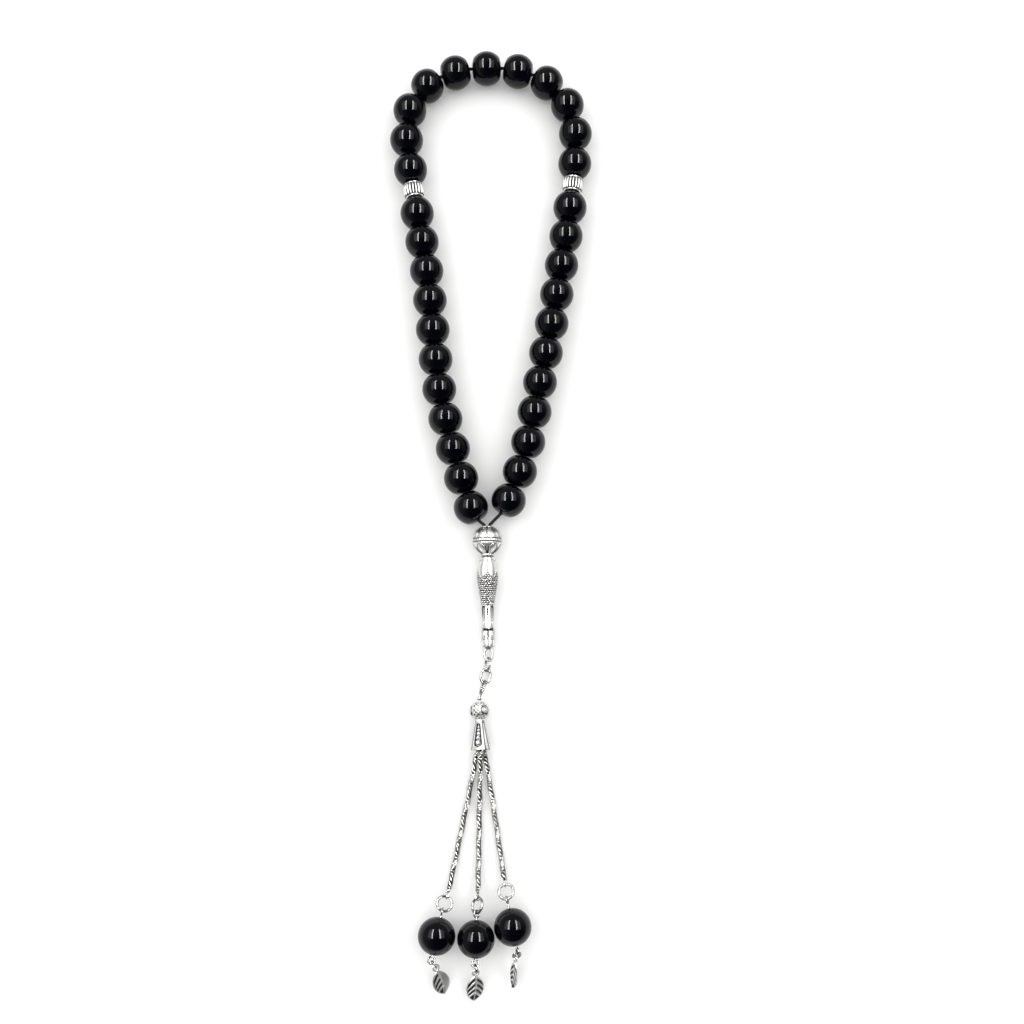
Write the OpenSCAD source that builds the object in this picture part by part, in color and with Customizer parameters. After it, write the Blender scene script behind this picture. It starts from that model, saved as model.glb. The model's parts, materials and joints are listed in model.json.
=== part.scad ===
// A loop of thirty-three stone beads on a cord, with two ribbed spacers, a silver leader (a ball and a
// tower), a short run of links, and a capped tassel of three chains that end in stone drops and leaves.
// It lies flat on a table: +Y runs up the loop, +Z is up, and the origin is under the middle.

/* [String beads] */
// Diameter of a string bead
bead_d = 10; // [9.4:0.2:10]
// Length of a string bead between its two shallow ends
bead_l = 8.9; // [8.5:0.1:8.9]
// Radius of the shallow dome at each end of a string bead
bead_end_r = 10; // [9:1:14]
// Bore of a string bead
bead_bore = 1.4; // [1.2:0.1:1.6]
// Distance along the cord from bead to bead in the two sides
side_pitch = 9.15; // [9.15:0.05:9.2]
// Distance along the cord from bead to bead round the arch
arch_pitch = 9.6; // [9.55:0.05:9.65]
// Distance along the cord from bead to bead across a spacer
spacer_pitch = 14; // [13.9:0.1:14.1]

/* [Cord] */
// Diameter of the cord
cord_d = 0.9; // [0.7:0.1:0.9]
// Diameter of the knot that holds the cord's two ends inside the tower
knot_d = 2.3; // [2.2:0.1:2.4]

/* [Spacers] */
// Diameter over the ribs of a spacer
spacer_d = 6.4; // [6:0.2:6.6]
// Length of a spacer
spacer_l = 4.5; // [4.2:0.1:4.5]
// Number of ribs round a spacer
spacer_ribs = 20; // [16:1:24]

/* [Leader] */
// Diameter of the leader's ball
ball_d = 8.4; // [8:0.2:8.4]
// Greatest diameter of the leader's tower
tower_d = 6.06; // [5.8:0.02:6.1]
// Bore that the cord's two ends share
leader_bore = 2.1; // [2:0.1:2.2]
// How steeply the leader slopes down to the table, in degrees
leader_slope = 4.25; // [4:0.05:4.3]

/* [Links] */
// Wire of the eye at the tower's end
eye_wire = 0.75; // [0.7:0.05:0.75]
// Wire of the small ring
ring_wire = 0.55; // [0.5:0.05:0.55]
// Wire of the oval link
link_wire = 0.7; // [0.6:0.05:0.7]
// Wire of the tassel's eye pin
pin_wire = 0.6; // [0.5:0.05:0.6]

/* [Tassel cap] */
// Diameter of the textured ball above the cone
cap_ball_d = 5.3; // [5:0.1:5.3]
// Diameter of the cone's mouth
cone_d = 5.8; // [5.6:0.1:5.8]
// Wall of the cone
cone_wall = 0.4; // [0.35:0.05:0.4]

/* [Pendants] */
// Diameter of a chain
chain_d = 1.7; // [1.5:0.1:1.7]
// Outer diameter of a jump ring
jump_ring_d = 4.9; // [4.8:0.1:5]
// Wire of a jump ring
jump_wire = 0.75; // [0.7:0.05:0.8]
// Diameter of a drop bead
drop_d = 10.4; // [10:0.1:10.4]
// Bore of a drop bead
drop_bore = 1.0; // [0.9:0.1:1.2]
// Wire of a drop pin and of the chain's end eye
thin_wire = 0.5; // [0.45:0.05:0.5]
// Wire of a charm ring and of a leaf's loop
charm_wire = 0.55; // [0.5:0.05:0.55]
// Length of a leaf's blade
leaf_l = 8.2; // [7.4:0.2:8.2]
// Width of a leaf's blade
leaf_w = 5; // [4.6:0.2:5.2]
// Thickness of a leaf's blade
leaf_t = 0.7; // [0.5:0.1:0.9]

/* [Hidden] */
$fn = 48;
BEADS = 33;
function bead_name(i) = str("bead_", i < 10 ? "0" : "", i);
SIDES = ["left", "middle", "right"];

SILVER = [0.78, 0.78, 0.76];
STONE = [0.03, 0.03, 0.035];
BLACK_CORD = [0.05, 0.05, 0.05];

// Ring contacts keep this much air
AIR = 0.05;

// ---- directions and placing ------------------------------------------------------------

// Unit vector at an azimuth and an elevation, in degrees
function dir(az, el) = [cos(el) * cos(az), cos(el) * sin(az), sin(el)];
function unit(v) = v / norm(v);
function flat(v) = [v[0], v[1], 0];
function azimuth(v) = atan2(v[1], v[0]);
function elevation(v) = atan2(v[2], norm(flat(v)));

// Puts a piece that is drawn along +X at p, pointing along v, rolled about v
module aim(p, v, roll = 0) {
    translate(p)
        rotate([0, -elevation(v), azimuth(v)])
            rotate([roll, 0, 0])
                children();
}

// The unit vector nearest to v that is square to w
function square_to(v, w) = unit(v - (v * w) * w);

// Puts a piece at p with its +X along x and its +Y along y, which are square to each other
module frame(p, x, y) {
    z = cross(x, y);
    multmatrix([
        [x[0], y[0], z[0], p[0]],
        [x[1], y[1], z[1], p[1]],
        [x[2], y[2], z[2], p[2]]
    ])
        children();
}

// ---- the cord's route ------------------------------------------------------------------

// From the leader's mouth up the left side, over the arch and down the right side
ROUTE = [
    [-1.4, -6.5], [-5.5, -1.5], [-8.5, 7.5], [-11, 16.5], [-15, 34], [-17, 51.5], [-19, 70],
    [-22, 88], [-24, 101], [-25.5, 112], [-24.5, 121.5], [-19.5, 129], [-11, 133.4], [-1.5, 134.8],
    [8, 133.9], [17, 130], [23, 123], [25.5, 113], [25, 102], [23.5, 89], [21, 72],
    [18, 54], [14.5, 36], [11, 18], [8.5, 9], [5.5, 1], [-0.4, -6.5]
];
LAST = len(ROUTE) - 1;
// Length of cord from the mouth to the first bead's middle
LEAD_IN = 6.6;
STEPS = 10;

// Direction of the route at one of its points, so that the curve through them is smooth
function heading(i) =
    i == 0 ? unit(ROUTE[1] - ROUTE[0]) :
    i == LAST ? unit(ROUTE[LAST] - ROUTE[LAST - 1]) :
    let (a = ROUTE[i] - ROUTE[i - 1], b = ROUTE[i + 1] - ROUTE[i])
        unit(a * norm(b) / norm(a) + b * norm(a) / norm(b));

// A point of the smooth curve between route points i and i + 1, with t from 0 to 1
function between(i, t) =
    let (
        a = ROUTE[i],
        b = ROUTE[i + 1],
        reach = norm(b - a),
        t2 = t * t,
        t3 = t2 * t
    )
    (2 * t3 - 3 * t2 + 1) * a + (t3 - 2 * t2 + t) * reach * heading(i)
    + (3 * t2 - 2 * t3) * b + (t3 - t2) * reach * heading(i + 1);

CURVE = concat([for (i = [0:LAST - 1], k = [0:STEPS - 1]) between(i, k / STEPS)], [ROUTE[LAST]]);

// Length of the curve up to each of its points
function lengths(i = 1, total = 0, found = [0]) =
    i == len(CURVE) ? found :
    let (next = total + norm(CURVE[i] - CURVE[i - 1]))
        lengths(i + 1, next, concat(found, [next]));

ALONG = lengths();
X_AT = [for (i = [0:len(CURVE) - 1]) [ALONG[i], CURVE[i][0]]];
Y_AT = [for (i = [0:len(CURVE) - 1]) [ALONG[i], CURVE[i][1]]];

string_z = bead_d / 2;

// The place on the cord at a length s from the mouth, and its direction there
function on_cord(s) = [lookup(s, X_AT), lookup(s, Y_AT), string_z];
function cord_way(s) = unit(on_cord(s + 0.5) - on_cord(s - 0.5));

// Eleven beads, a spacer, eleven beads round the arch, a spacer, eleven beads
GROUP = 11;
left_s = LEAD_IN;
arch_s = left_s + (GROUP - 1) * side_pitch + spacer_pitch;
right_s = arch_s + (GROUP - 1) * arch_pitch + spacer_pitch;
function bead_s(i) =
    i <= GROUP ? left_s + (i - 1) * side_pitch :
    i <= 2 * GROUP ? arch_s + (i - GROUP - 1) * arch_pitch :
    right_s + (i - 2 * GROUP - 1) * side_pitch;
spacer_left_s = arch_s - spacer_pitch / 2;
spacer_right_s = right_s - spacer_pitch / 2;

// ---- the leader's line -----------------------------------------------------------------

ball_r = ball_d / 2;
// Distance from the mouth to the ball's middle, along the leader
ball_s = 4.4;
LEADER_AZ = -89.35;
leader = dir(LEADER_AZ, -leader_slope);
MOUTH = [-0.9, -6.5, ball_r + ball_s * tan(leader_slope)];
function on_leader(s) = MOUTH + s * leader;
// Where the tower starts and ends, and the middle of the eye's lower bar
tower_s = 9;
tower_end_s = 35.2;
eye_bar_s = 38.9;
knot_s = 12;

// ---- the cord --------------------------------------------------------------------------

CORD_SIDES = 8;
strand = cord_d / 2 + 0.03;
// The two ends run side by side down the leader, this far left and right of its line
function tail(side, s) = on_leader(s) + [side * strand, 0, 0];
// The cord is straight inside each bead and spacer, and bends only between them
function through(s, l) = [on_cord(s) - cord_way(s) * l / 2, on_cord(s) + cord_way(s) * l / 2];
spine = concat(
    [tail(-1, knot_s - 0.6), tail(-1, 8), tail(-1, 3), tail(-1, 0.2)],
    [for (i = [1:GROUP], p = through(bead_s(i), bead_l)) p],
    through(spacer_left_s, spacer_l),
    [for (i = [GROUP + 1:2 * GROUP], p = through(bead_s(i), bead_l)) p],
    through(spacer_right_s, spacer_l),
    [for (i = [2 * GROUP + 1:BEADS], p = through(bead_s(i), bead_l)) p],
    [tail(1, 0.2), tail(1, 3), tail(1, 9)],
    [on_leader(knot_s - 0.5), on_leader(knot_s - 0.2), on_leader(knot_s + 0.5), on_leader(knot_s + 1.4)]
);
// The last four rings swell into the knot
KNOT_RINGS = [0.55, 0.95, 1, 0.5];
function ring_r(i) =
    i < len(spine) - len(KNOT_RINGS) ? cord_d / 2 : knot_d / 2 * KNOT_RINGS[i - len(spine) + len(KNOT_RINGS)];
function way_at(i) = unit(spine[min(i + 1, len(spine) - 1)] - spine[max(i - 1, 0)]);
function ring_at(i) =
    let (w = way_at(i), u = unit(cross([0, 0, 1], w)), v = cross(w, u))
    [for (k = [0:CORD_SIDES - 1])
        let (a = 360 * (k + 0.5) / CORD_SIDES)
        spine[i] + ring_r(i) * (cos(a) * u + sin(a) * v)];

module cord() {
    rings = len(spine);
    n = CORD_SIDES;
    color(BLACK_CORD)
        polyhedron(
            points = [for (i = [0:rings - 1], p = ring_at(i)) p],
            faces = concat(
                [[for (k = [0:n - 1]) k]],
                [for (i = [0:rings - 2], k = [0:n - 1])
                    [i * n + k, (i + 1) * n + k, (i + 1) * n + (k + 1) % n]],
                [for (i = [0:rings - 2], k = [0:n - 1])
                    [i * n + k, (i + 1) * n + (k + 1) % n, i * n + (k + 1) % n]],
                [[for (k = [n - 1:-1:0]) (rings - 1) * n + k]]
            )
        );
}

// ---- string beads and spacers ----------------------------------------------------------

// Along +X: a ball whose two ends are shallower domes, drilled through
module string_bead() {
    shift = bead_end_r - bead_l / 2;
    rotate([0, 90, 0])
        difference() {
            intersection() {
                sphere(d = bead_d);
                translate([0, 0, shift]) sphere(bead_end_r);
                translate([0, 0, -shift]) sphere(bead_end_r);
            }
            cylinder(d = bead_bore, h = 2 * bead_d, center = true);
        }
}

module bead(i) {
    color(STONE) aim(on_cord(bead_s(i)), cord_way(bead_s(i))) string_bead();
}

// Along +X: a barrel with a smooth rim at each end and round ribs between them
module spacer() {
    rim = 0.7;
    core_d = spacer_d - 0.9;
    rib_r = 0.36;
    rotate([0, 90, 0])
        translate([0, 0, -spacer_l / 2])
            difference() {
                union() {
                    cylinder(d = core_d, h = spacer_l);
                    cylinder(d = spacer_d - 0.6, h = rim);
                    translate([0, 0, spacer_l - rim]) cylinder(d = spacer_d - 0.6, h = rim);
                    for (k = [0:spacer_ribs - 1])
                        rotate([0, 0, 360 * k / spacer_ribs])
                            translate([spacer_d / 2 - rib_r, 0, rim / 2])
                                cylinder(r = rib_r, h = spacer_l - rim, $fn = 16);
                }
                translate([0, 0, -1]) cylinder(d = bead_bore, h = spacer_l + 2);
            }
}

module spacer_left() {
    color(SILVER) aim(on_cord(spacer_left_s), cord_way(spacer_left_s)) spacer();
}

module spacer_right() {
    color(SILVER) aim(on_cord(spacer_right_s), cord_way(spacer_right_s)) spacer();
}

// ---- wire shapes, all drawn along +X ---------------------------------------------------

// A ring whose wire's middle has the radius r
module wire_ring(r, wire) {
    rotate_extrude() translate([r, 0]) circle(d = wire);
}

// An oval link: half its length and half its width to the wire's middle
module wire_link(half_l, half_w, wire) {
    straight = half_l - half_w;
    for (end = [0, 180])
        rotate([0, 0, end])
            translate([straight, 0, 0])
                rotate([0, 0, -90])
                    rotate_extrude(angle = 180) translate([half_w, 0]) circle(d = wire);
    for (side = [-1, 1])
        translate([-straight, side * half_w, 0])
            rotate([0, 90, 0]) cylinder(d = wire, h = 2 * straight);
}

// A straight wire from a to b along +X
module wire_along(a, b, d) {
    translate([a, 0, 0]) rotate([0, 90, 0]) cylinder(d = d, h = b - a);
}

// ---- the leader: ball and tower --------------------------------------------------------

// Turns an outline of [distance along the line, radius] points about +X
module turned(outline) {
    rotate([0, 90, 0])
        rotate_extrude()
            polygon(concat(
                [[0, outline[0][0]]],
                [for (p = outline) [p[1], p[0]]],
                [[0, outline[len(outline) - 1][0]]]
            ));
}

module imam_ball() {
    mouth_s = 0.3;
    collar_d = 3.8;
    groove = 0.16;
    color(SILVER)
        aim(MOUTH, leader)
            difference() {
                union() {
                    translate([ball_s, 0, 0]) rotate([0, 90, 0]) sphere(ball_r);
                    wire_along(ball_s, tower_s - 0.05, collar_d);
                }
                wire_along(-1, mouth_s, ball_d);
                wire_along(-1, tower_s + 1, leader_bore);
                // The countersink at the mouth
                translate([mouth_s - 0.01, 0, 0])
                    rotate([0, 90, 0]) cylinder(d1 = leader_bore + 1.2, d2 = leader_bore, h = 0.6);
                // Two grooves round the middle
                for (s = [-0.35, 0.35])
                    translate([ball_s + s, 0, 0])
                        rotate([0, 90, 0]) wire_ring(ball_r + 0.02, 2 * groove);
            }
}

// Radius of the tower at each distance from the mouth: bulb, taper, flutes, collar, groove, barrel
TOWER = [
    [9, 1.6], [9.3, 1.95], [10.4, 2.35], [12, 2.8], [14.1, 3.03], [16, 2.9], [18, 2.6],
    [20.5, 2.15], [23.3, 1.8], [26, 1.72], [28.2, 1.62], [29.3, 1.8], [29.8, 1.8],
    [29.9, 1.5], [30.2, 1.5], [30.3, 1.85], [34.8, 1.9], [35.2, 1.6]
];

module imam_tower() {
    flutes = 8;
    flute_s = 23.6;
    flute_l = 4.4;
    cavity_s = 11;
    cavity_d = 2.6;
    cavity_end_s = 32.5;
    stem_d = 1.3;
    eye_half_l = 1.7;
    eye_half_w = 1.15;
    swell = tower_d / 6.06;
    color(SILVER)
        aim(MOUTH, leader) {
            difference() {
                turned([for (p = TOWER) [p[0], p[1] * swell]]);
                wire_along(tower_s - 1, cavity_s + 1, leader_bore);
                wire_along(cavity_s, cavity_end_s, cavity_d);
                for (k = [0:flutes - 1])
                    rotate([360 * (k + 0.5) / flutes, 0, 0])
                        translate([0, 0, 1.95])
                            wire_along(flute_s, flute_s + flute_l, 0.8);
            }
            wire_along(cavity_end_s - 0.5, tower_end_s + 0.4, stem_d);
            translate([eye_bar_s - eye_half_l, 0, 0])
                wire_link(eye_half_l, eye_half_w, eye_wire);
        }
}

// ---- the links -------------------------------------------------------------------------

eye_bar = on_leader(eye_bar_s);

// The small ring: its upper end is inside the eye, its lower end inside the oval link
SWIVEL = dir(-101, -6);
swivel_l = 3.95;
swivel_half_w = 1.3;
SWIVEL_ROLL = 58;
swivel_top = eye_bar - SWIVEL * (eye_wire / 2 + ring_wire / 2 + 2 * AIR);
swivel_low = swivel_top + SWIVEL * swivel_l;

module swivel_ring() {
    color(SILVER)
        aim((swivel_top + swivel_low) / 2, SWIVEL, SWIVEL_ROLL)
            wire_link(swivel_l / 2, swivel_half_w, ring_wire);
}

// The oval link lies face up
OVAL = dir(-99, -3);
oval_l = 4.15;
oval_half_w = 1.35;
OVAL_ROLL = -12;
oval_top = swivel_low - OVAL * (ring_wire / 2 + link_wire / 2 + AIR);
oval_low = oval_top + OVAL * oval_l;

module oval_link() {
    color(SILVER)
        aim((oval_top + oval_low) / 2, OVAL, OVAL_ROLL)
            wire_link(oval_l / 2, oval_half_w, link_wire);
}

// ---- the tassel's pin and cap ----------------------------------------------------------

// The pin's line: through the cap's ball and out of the cone's mouth
CAP_BALL = [-2.9, -59.7, 2.8];
CONE_MOUTH = [-2.5, -70.7, 3.05];
cap_way = unit(CONE_MOUTH - CAP_BALL);
mouth_x = norm(CONE_MOUTH - CAP_BALL);
cap_r = cap_ball_d / 2;
// The pin's eye stands nearly on edge
pin_top = oval_low - OVAL * (link_wire / 2 + pin_wire / 2 + AIR);
pin_eye_l = 4.1;
pin_eye_half_w = 1.15;
PIN_ROLL = 72;
// The wire's neck, where the eye closes, just above the cap's ball
pin_neck = CAP_BALL - cap_way * (cap_r + 0.75);
pin_eye_way = unit(pin_neck - pin_top);
pin_eye_low = pin_top + pin_eye_way * pin_eye_l;
pin_shank = 0.7;
// Distance from the cap ball's middle to the loop that holds the chains
loop_x = 8.6;
loop_r = 0.75;

// Where each chain leaves the cone, as steps across and up from the middle of its mouth
MOUTH_GAP = 0.15;
CHAIN_PLACES = [[-0.95, -0.45], [0, 1.2], [0.95, -0.45]];
function chain_pivot(k) =
    CONE_MOUTH + cap_way * MOUTH_GAP + [CHAIN_PLACES[k][0], 0, CHAIN_PLACES[k][1]];

module tassel_pin() {
    stub_gap = 0.1;
    stub_l = 2.2;
    color(SILVER) {
        aim((pin_top + pin_eye_low) / 2, pin_eye_way, PIN_ROLL)
            wire_link(pin_eye_l / 2, pin_eye_half_w, pin_wire);
        aim(pin_eye_low, pin_neck - pin_eye_low)
            wire_along(0, norm(pin_neck - pin_eye_low) + 0.1, pin_shank);
        aim(CAP_BALL, cap_way) {
            wire_along(-cap_r - 0.85, loop_x - loop_r + 0.2, pin_shank);
            translate([loop_x, 0, 0]) rotate([90, 0, 0]) wire_ring(loop_r, pin_wire);
        }
        // The three chains' first links, held in the cone
        for (k = [0:2])
            aim(chain_pivot(k) - cap_way * (stub_gap + chain_d / 2 + stub_l), cap_way)
                wire_along(-0.8, stub_l, chain_d * 0.7);
    }
}

module tassel_cap() {
    bore = pin_shank + 0.3;
    top_x = cap_r + 0.15;
    top_d = 2.6;
    inside_x = top_x + 1.2;
    color(SILVER)
        aim(CAP_BALL, cap_way)
            difference() {
                union() {
                    rotate([0, 90, 0]) sphere(cap_r);
                    wire_along(0, top_x + 0.3, 2.2);
                    translate([top_x, 0, 0])
                        rotate([0, 90, 0]) cylinder(d1 = top_d, d2 = cone_d, h = mouth_x - top_x);
                }
                wire_along(-cap_ball_d, inside_x + 1, bore);
                translate([inside_x, 0, 0])
                    rotate([0, 90, 0])
                        cylinder(
                            d1 = cone_at(inside_x, top_x, top_d) - 2 * cone_wall,
                            d2 = cone_at(mouth_x + 1, top_x, top_d) - 2 * cone_wall,
                            h = mouth_x + 1 - inside_x
                        );
            }
}
// The cone's outer diameter at a distance x from the ball's middle
function cone_at(x, top_x, top_d) = top_d + (cone_d - top_d) * (x - top_x) / (mouth_x - top_x);

// ---- the pendants ----------------------------------------------------------------------

// For left, middle and right: the drop bead's middle
DROP = [[-14.4, -121.5, 5.2], [-3.6, -122.3, 5.2], [6.5, -119.1, 5.2]];
// The pin's line through the drop bead, from its upper eye to its lower eye
PIN_AZ = [-102, -91.5, -78];
PIN_EL = [8, 3, 10];
// From the jump ring's lower contact to the drop bead's middle
HANG = [6.9, 7.0, 7.7];
// The jump ring's line and its roll
RING_AZ = [-108, -93, -81.5];
RING_EL = [20, 20, 20];
RING_ROLL = [0, 48, 12];
// Roll of the pin's lower eye: near 0 the leaf lies face up, near 90 on its edge
LOW_EYE_ROLL = [-8, -12, 72];
// The charm ring's line, then the leaf's
CHARM_AZ = [-62, -90, -110];
CHARM_EL = [-35, -35, -35];
LEAF_AZ = [-74, -94, -97];
LEAF_EL = [-29, -25.5, -23];

// The chains' routes between the cone's mouth and their end eyes
CHAIN_ROUTES = [
    [[-5, -79, 1.4], [-7.5, -91, 1.0], [-9.7, -102, 1.1], [-10.9, -107.5, 1.7]],
    [[-2.7, -79, 2.4], [-2.9, -88, 1.1], [-3, -99, 1.1], [-3.1, -106.5, 1.9]],
    [[0.2, -81, 1.3], [1.9, -92, 1.0], [3.2, -100.5, 1.1], [3.9, -104.5, 1.6]]
];

jump_r = (jump_ring_d - jump_wire) / 2;
end_eye_r = 0.7;
top_eye_r = 0.95;
charm_r = 1.1;
leaf_loop_r = 0.85;
eye_gap = 0.1;

function pin_way(k) = dir(PIN_AZ[k], PIN_EL[k]);
function ring_way(k) = dir(RING_AZ[k], RING_EL[k]);
function charm_way(k) = dir(CHARM_AZ[k], CHARM_EL[k]);
function leaf_way(k) = dir(LEAF_AZ[k], LEAF_EL[k]);
// The jump ring's lower and upper contacts
function ring_low(k) = DROP[k] - HANG[k] * pin_way(k);
function ring_top(k) = ring_low(k) - 2 * jump_r * ring_way(k);
// Middles of the pin's eyes
function top_eye(k) = ring_low(k) + (top_eye_r - (jump_wire + thin_wire) / 2 - AIR) * pin_way(k);
low_eye_x = drop_d / 2 + eye_gap + thin_wire / 2 + top_eye_r;
function low_eye(k) = DROP[k] + low_eye_x * pin_way(k);
// Across and normal directions of the pin's lower eye
function across(k) = unit(cross([0, 0, 1], pin_way(k)));
function low_eye_side(k) = cos(LOW_EYE_ROLL[k]) * across(k) + sin(LOW_EYE_ROLL[k]) * cross(pin_way(k), across(k));
function low_eye_normal(k) = cross(pin_way(k), low_eye_side(k));
// Where the charm ring pulls on the lower eye's wire, and the wire's direction there
function pull(k) = square_to(charm_way(k), low_eye_normal(k));
function charm_at(k) = low_eye(k) + top_eye_r * pull(k);
function charm_axis(k) = cross(low_eye_normal(k), pull(k));
// The charm ring's upper and lower contacts: its wire crosses the eye's wire squarely
function charm_top(k) = charm_at(k) - ((thin_wire + charm_wire) / 2 + AIR) * charm_way(k);
function charm_low(k) = charm_top(k) + 2 * charm_r * charm_way(k);
function charm_side(k) = square_to(low_eye_normal(k), charm_way(k));
function charm_normal(k) = cross(charm_way(k), charm_side(k));
// The leaf's loop crosses the charm ring's wire squarely too
function leaf_top(k) = charm_low(k) - (charm_wire + AIR) * leaf_way(k);
function leaf_side(k) = square_to(charm_normal(k), leaf_way(k));
// The jump ring's wire direction at its contacts, and the side of the pin's upper eye
function ring_side(k) =
    let (a = unit(cross([0, 0, 1], ring_way(k))))
        cos(RING_ROLL[k]) * a + sin(RING_ROLL[k]) * cross(ring_way(k), a);
function ring_normal(k) = cross(ring_way(k), ring_side(k));
function top_eye_side(k) = square_to(ring_normal(k), pin_way(k));

// A chain's end eye is a ring about the jump ring's wire
module chain(k) {
    eye = ring_top(k);
    last = eye - (end_eye_r + 0.1) * ring_way(k);
    line = concat([chain_pivot(k)], CHAIN_ROUTES[k], [last]);
    joint_d = chain_d + 0.06;
    color(SILVER) {
        for (i = [0:len(line) - 2])
            aim(line[i], line[i + 1] - line[i])
                wire_along(0, norm(line[i + 1] - line[i]), i == len(line) - 2 ? chain_d * 0.8 : chain_d);
        for (i = [0:len(line) - 2])
            translate(line[i]) sphere(d = joint_d);
        frame(eye, ring_way(k), ring_normal(k)) wire_ring(end_eye_r, thin_wire);
    }
}

module jump_ring(k) {
    color(SILVER)
        frame((ring_top(k) + ring_low(k)) / 2, ring_way(k), ring_side(k))
            wire_ring(jump_r, jump_wire);
}

module drop_pin(k) {
    top_x = norm(top_eye(k) - DROP[k]);
    color(SILVER) {
        frame(top_eye(k), pin_way(k), top_eye_side(k)) wire_ring(top_eye_r, thin_wire);
        aim(DROP[k], pin_way(k))
            wire_along(-top_x + top_eye_r - 0.1, low_eye_x - top_eye_r + 0.1, thin_wire + 0.02);
        frame(low_eye(k), pin_way(k), low_eye_side(k)) wire_ring(top_eye_r, thin_wire);
    }
}

module drop_bead(k) {
    color(STONE)
        aim(DROP[k], pin_way(k))
            rotate([0, 90, 0])
                difference() {
                    sphere(d = drop_d);
                    cylinder(d = drop_bore, h = 2 * drop_d, center = true);
                }
}

module charm_ring(k) {
    color(SILVER)
        frame((charm_top(k) + charm_low(k)) / 2, charm_way(k), charm_side(k))
            wire_ring(charm_r, charm_wire);
}

// A leaf: a pointed oval blade between two arcs, with a loop at its stalk
module leaf(k) {
    loop_x = leaf_loop_r;
    blade_x = 2 * leaf_loop_r + charm_wire / 2 - 0.15;
    // Radius of the two arcs that meet at the blade's points
    arc_r = (leaf_l * leaf_l / 4 + leaf_w * leaf_w / 4) / leaf_w;
    color(SILVER)
        frame(leaf_top(k), leaf_way(k), leaf_side(k)) {
            translate([loop_x, 0, 0]) wire_ring(leaf_loop_r, charm_wire);
            translate([blade_x + leaf_l / 2, 0, -leaf_t / 2])
                linear_extrude(leaf_t)
                    intersection() {
                        translate([0, arc_r - leaf_w / 2]) circle(arc_r);
                        translate([0, leaf_w / 2 - arc_r]) circle(arc_r);
                    }
        }
}

// ---- drawing ---------------------------------------------------------------------------

cord();
for (i = [1:BEADS])
    bead(i);
spacer_left();
spacer_right();
imam_ball();
imam_tower();
swivel_ring();
oval_link();
tassel_pin();
tassel_cap();
for (k = [0:2]) {
    chain(k);
    jump_ring(k);
    drop_pin(k);
    drop_bead(k);
    charm_ring(k);
    leaf(k);
}
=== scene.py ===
"""Looks of the misbaha prayer beads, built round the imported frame. Lengths are in millimetres unless said."""

import json
import math

import bpy
import bmesh
from mathutils import Matrix, Vector, noise


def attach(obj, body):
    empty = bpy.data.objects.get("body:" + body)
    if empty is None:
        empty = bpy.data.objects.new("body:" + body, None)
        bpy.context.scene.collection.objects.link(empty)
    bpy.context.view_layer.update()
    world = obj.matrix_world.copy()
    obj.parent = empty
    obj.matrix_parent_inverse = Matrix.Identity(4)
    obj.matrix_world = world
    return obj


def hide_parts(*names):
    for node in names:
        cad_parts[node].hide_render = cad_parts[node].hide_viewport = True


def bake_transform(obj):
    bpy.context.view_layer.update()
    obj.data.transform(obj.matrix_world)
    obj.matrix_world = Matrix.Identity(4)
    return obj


MM = 0.001

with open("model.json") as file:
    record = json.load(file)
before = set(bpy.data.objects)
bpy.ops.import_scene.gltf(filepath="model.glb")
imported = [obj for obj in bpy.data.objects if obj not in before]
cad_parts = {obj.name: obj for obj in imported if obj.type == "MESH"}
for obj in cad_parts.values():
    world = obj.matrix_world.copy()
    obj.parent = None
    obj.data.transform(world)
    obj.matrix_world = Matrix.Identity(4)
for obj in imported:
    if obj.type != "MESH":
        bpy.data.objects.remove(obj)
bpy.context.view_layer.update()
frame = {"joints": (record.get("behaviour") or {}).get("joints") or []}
JOINTS = {j["name"]: j for j in frame["joints"]}
SIDES = ("left", "middle", "right")


# ---- places and directions ---------------------------------------------------------------


def joint_at(name):
    """Where a joint is, in millimetres."""
    return Vector(JOINTS[name]["pos_m"]) / MM


def joint_axis(name):
    return Vector(JOINTS[name]["axis"]).normalized()


def direction(azimuth, elevation):
    az, el = math.radians(azimuth), math.radians(elevation)
    return Vector((math.cos(el) * math.cos(az), math.cos(el) * math.sin(az), math.sin(el)))


def square_to(v, w):
    """The unit vector nearest to v that is square to w."""
    return (v - v.dot(w) * w).normalized()


def placed(p, x, y):
    """A matrix that puts a piece at p with its +X along x and its +Y along y."""
    z = x.cross(y)
    turn = Matrix((x, y, z)).transposed().to_4x4()
    return Matrix.Translation(p) @ turn


def aimed(p, way, roll=0.0):
    """A matrix that puts a piece that is drawn along +X at p, pointing along way, rolled by degrees."""
    azimuth = math.atan2(way.y, way.x)
    elevation = math.atan2(way.z, math.hypot(way.x, way.y))
    return (
        Matrix.Translation(p)
        @ Matrix.Rotation(azimuth, 4, "Z")
        @ Matrix.Rotation(-elevation, 4, "Y")
        @ Matrix.Rotation(math.radians(roll), 4, "X")
    )


# ---- shapes --------------------------------------------------------------------------------


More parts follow.
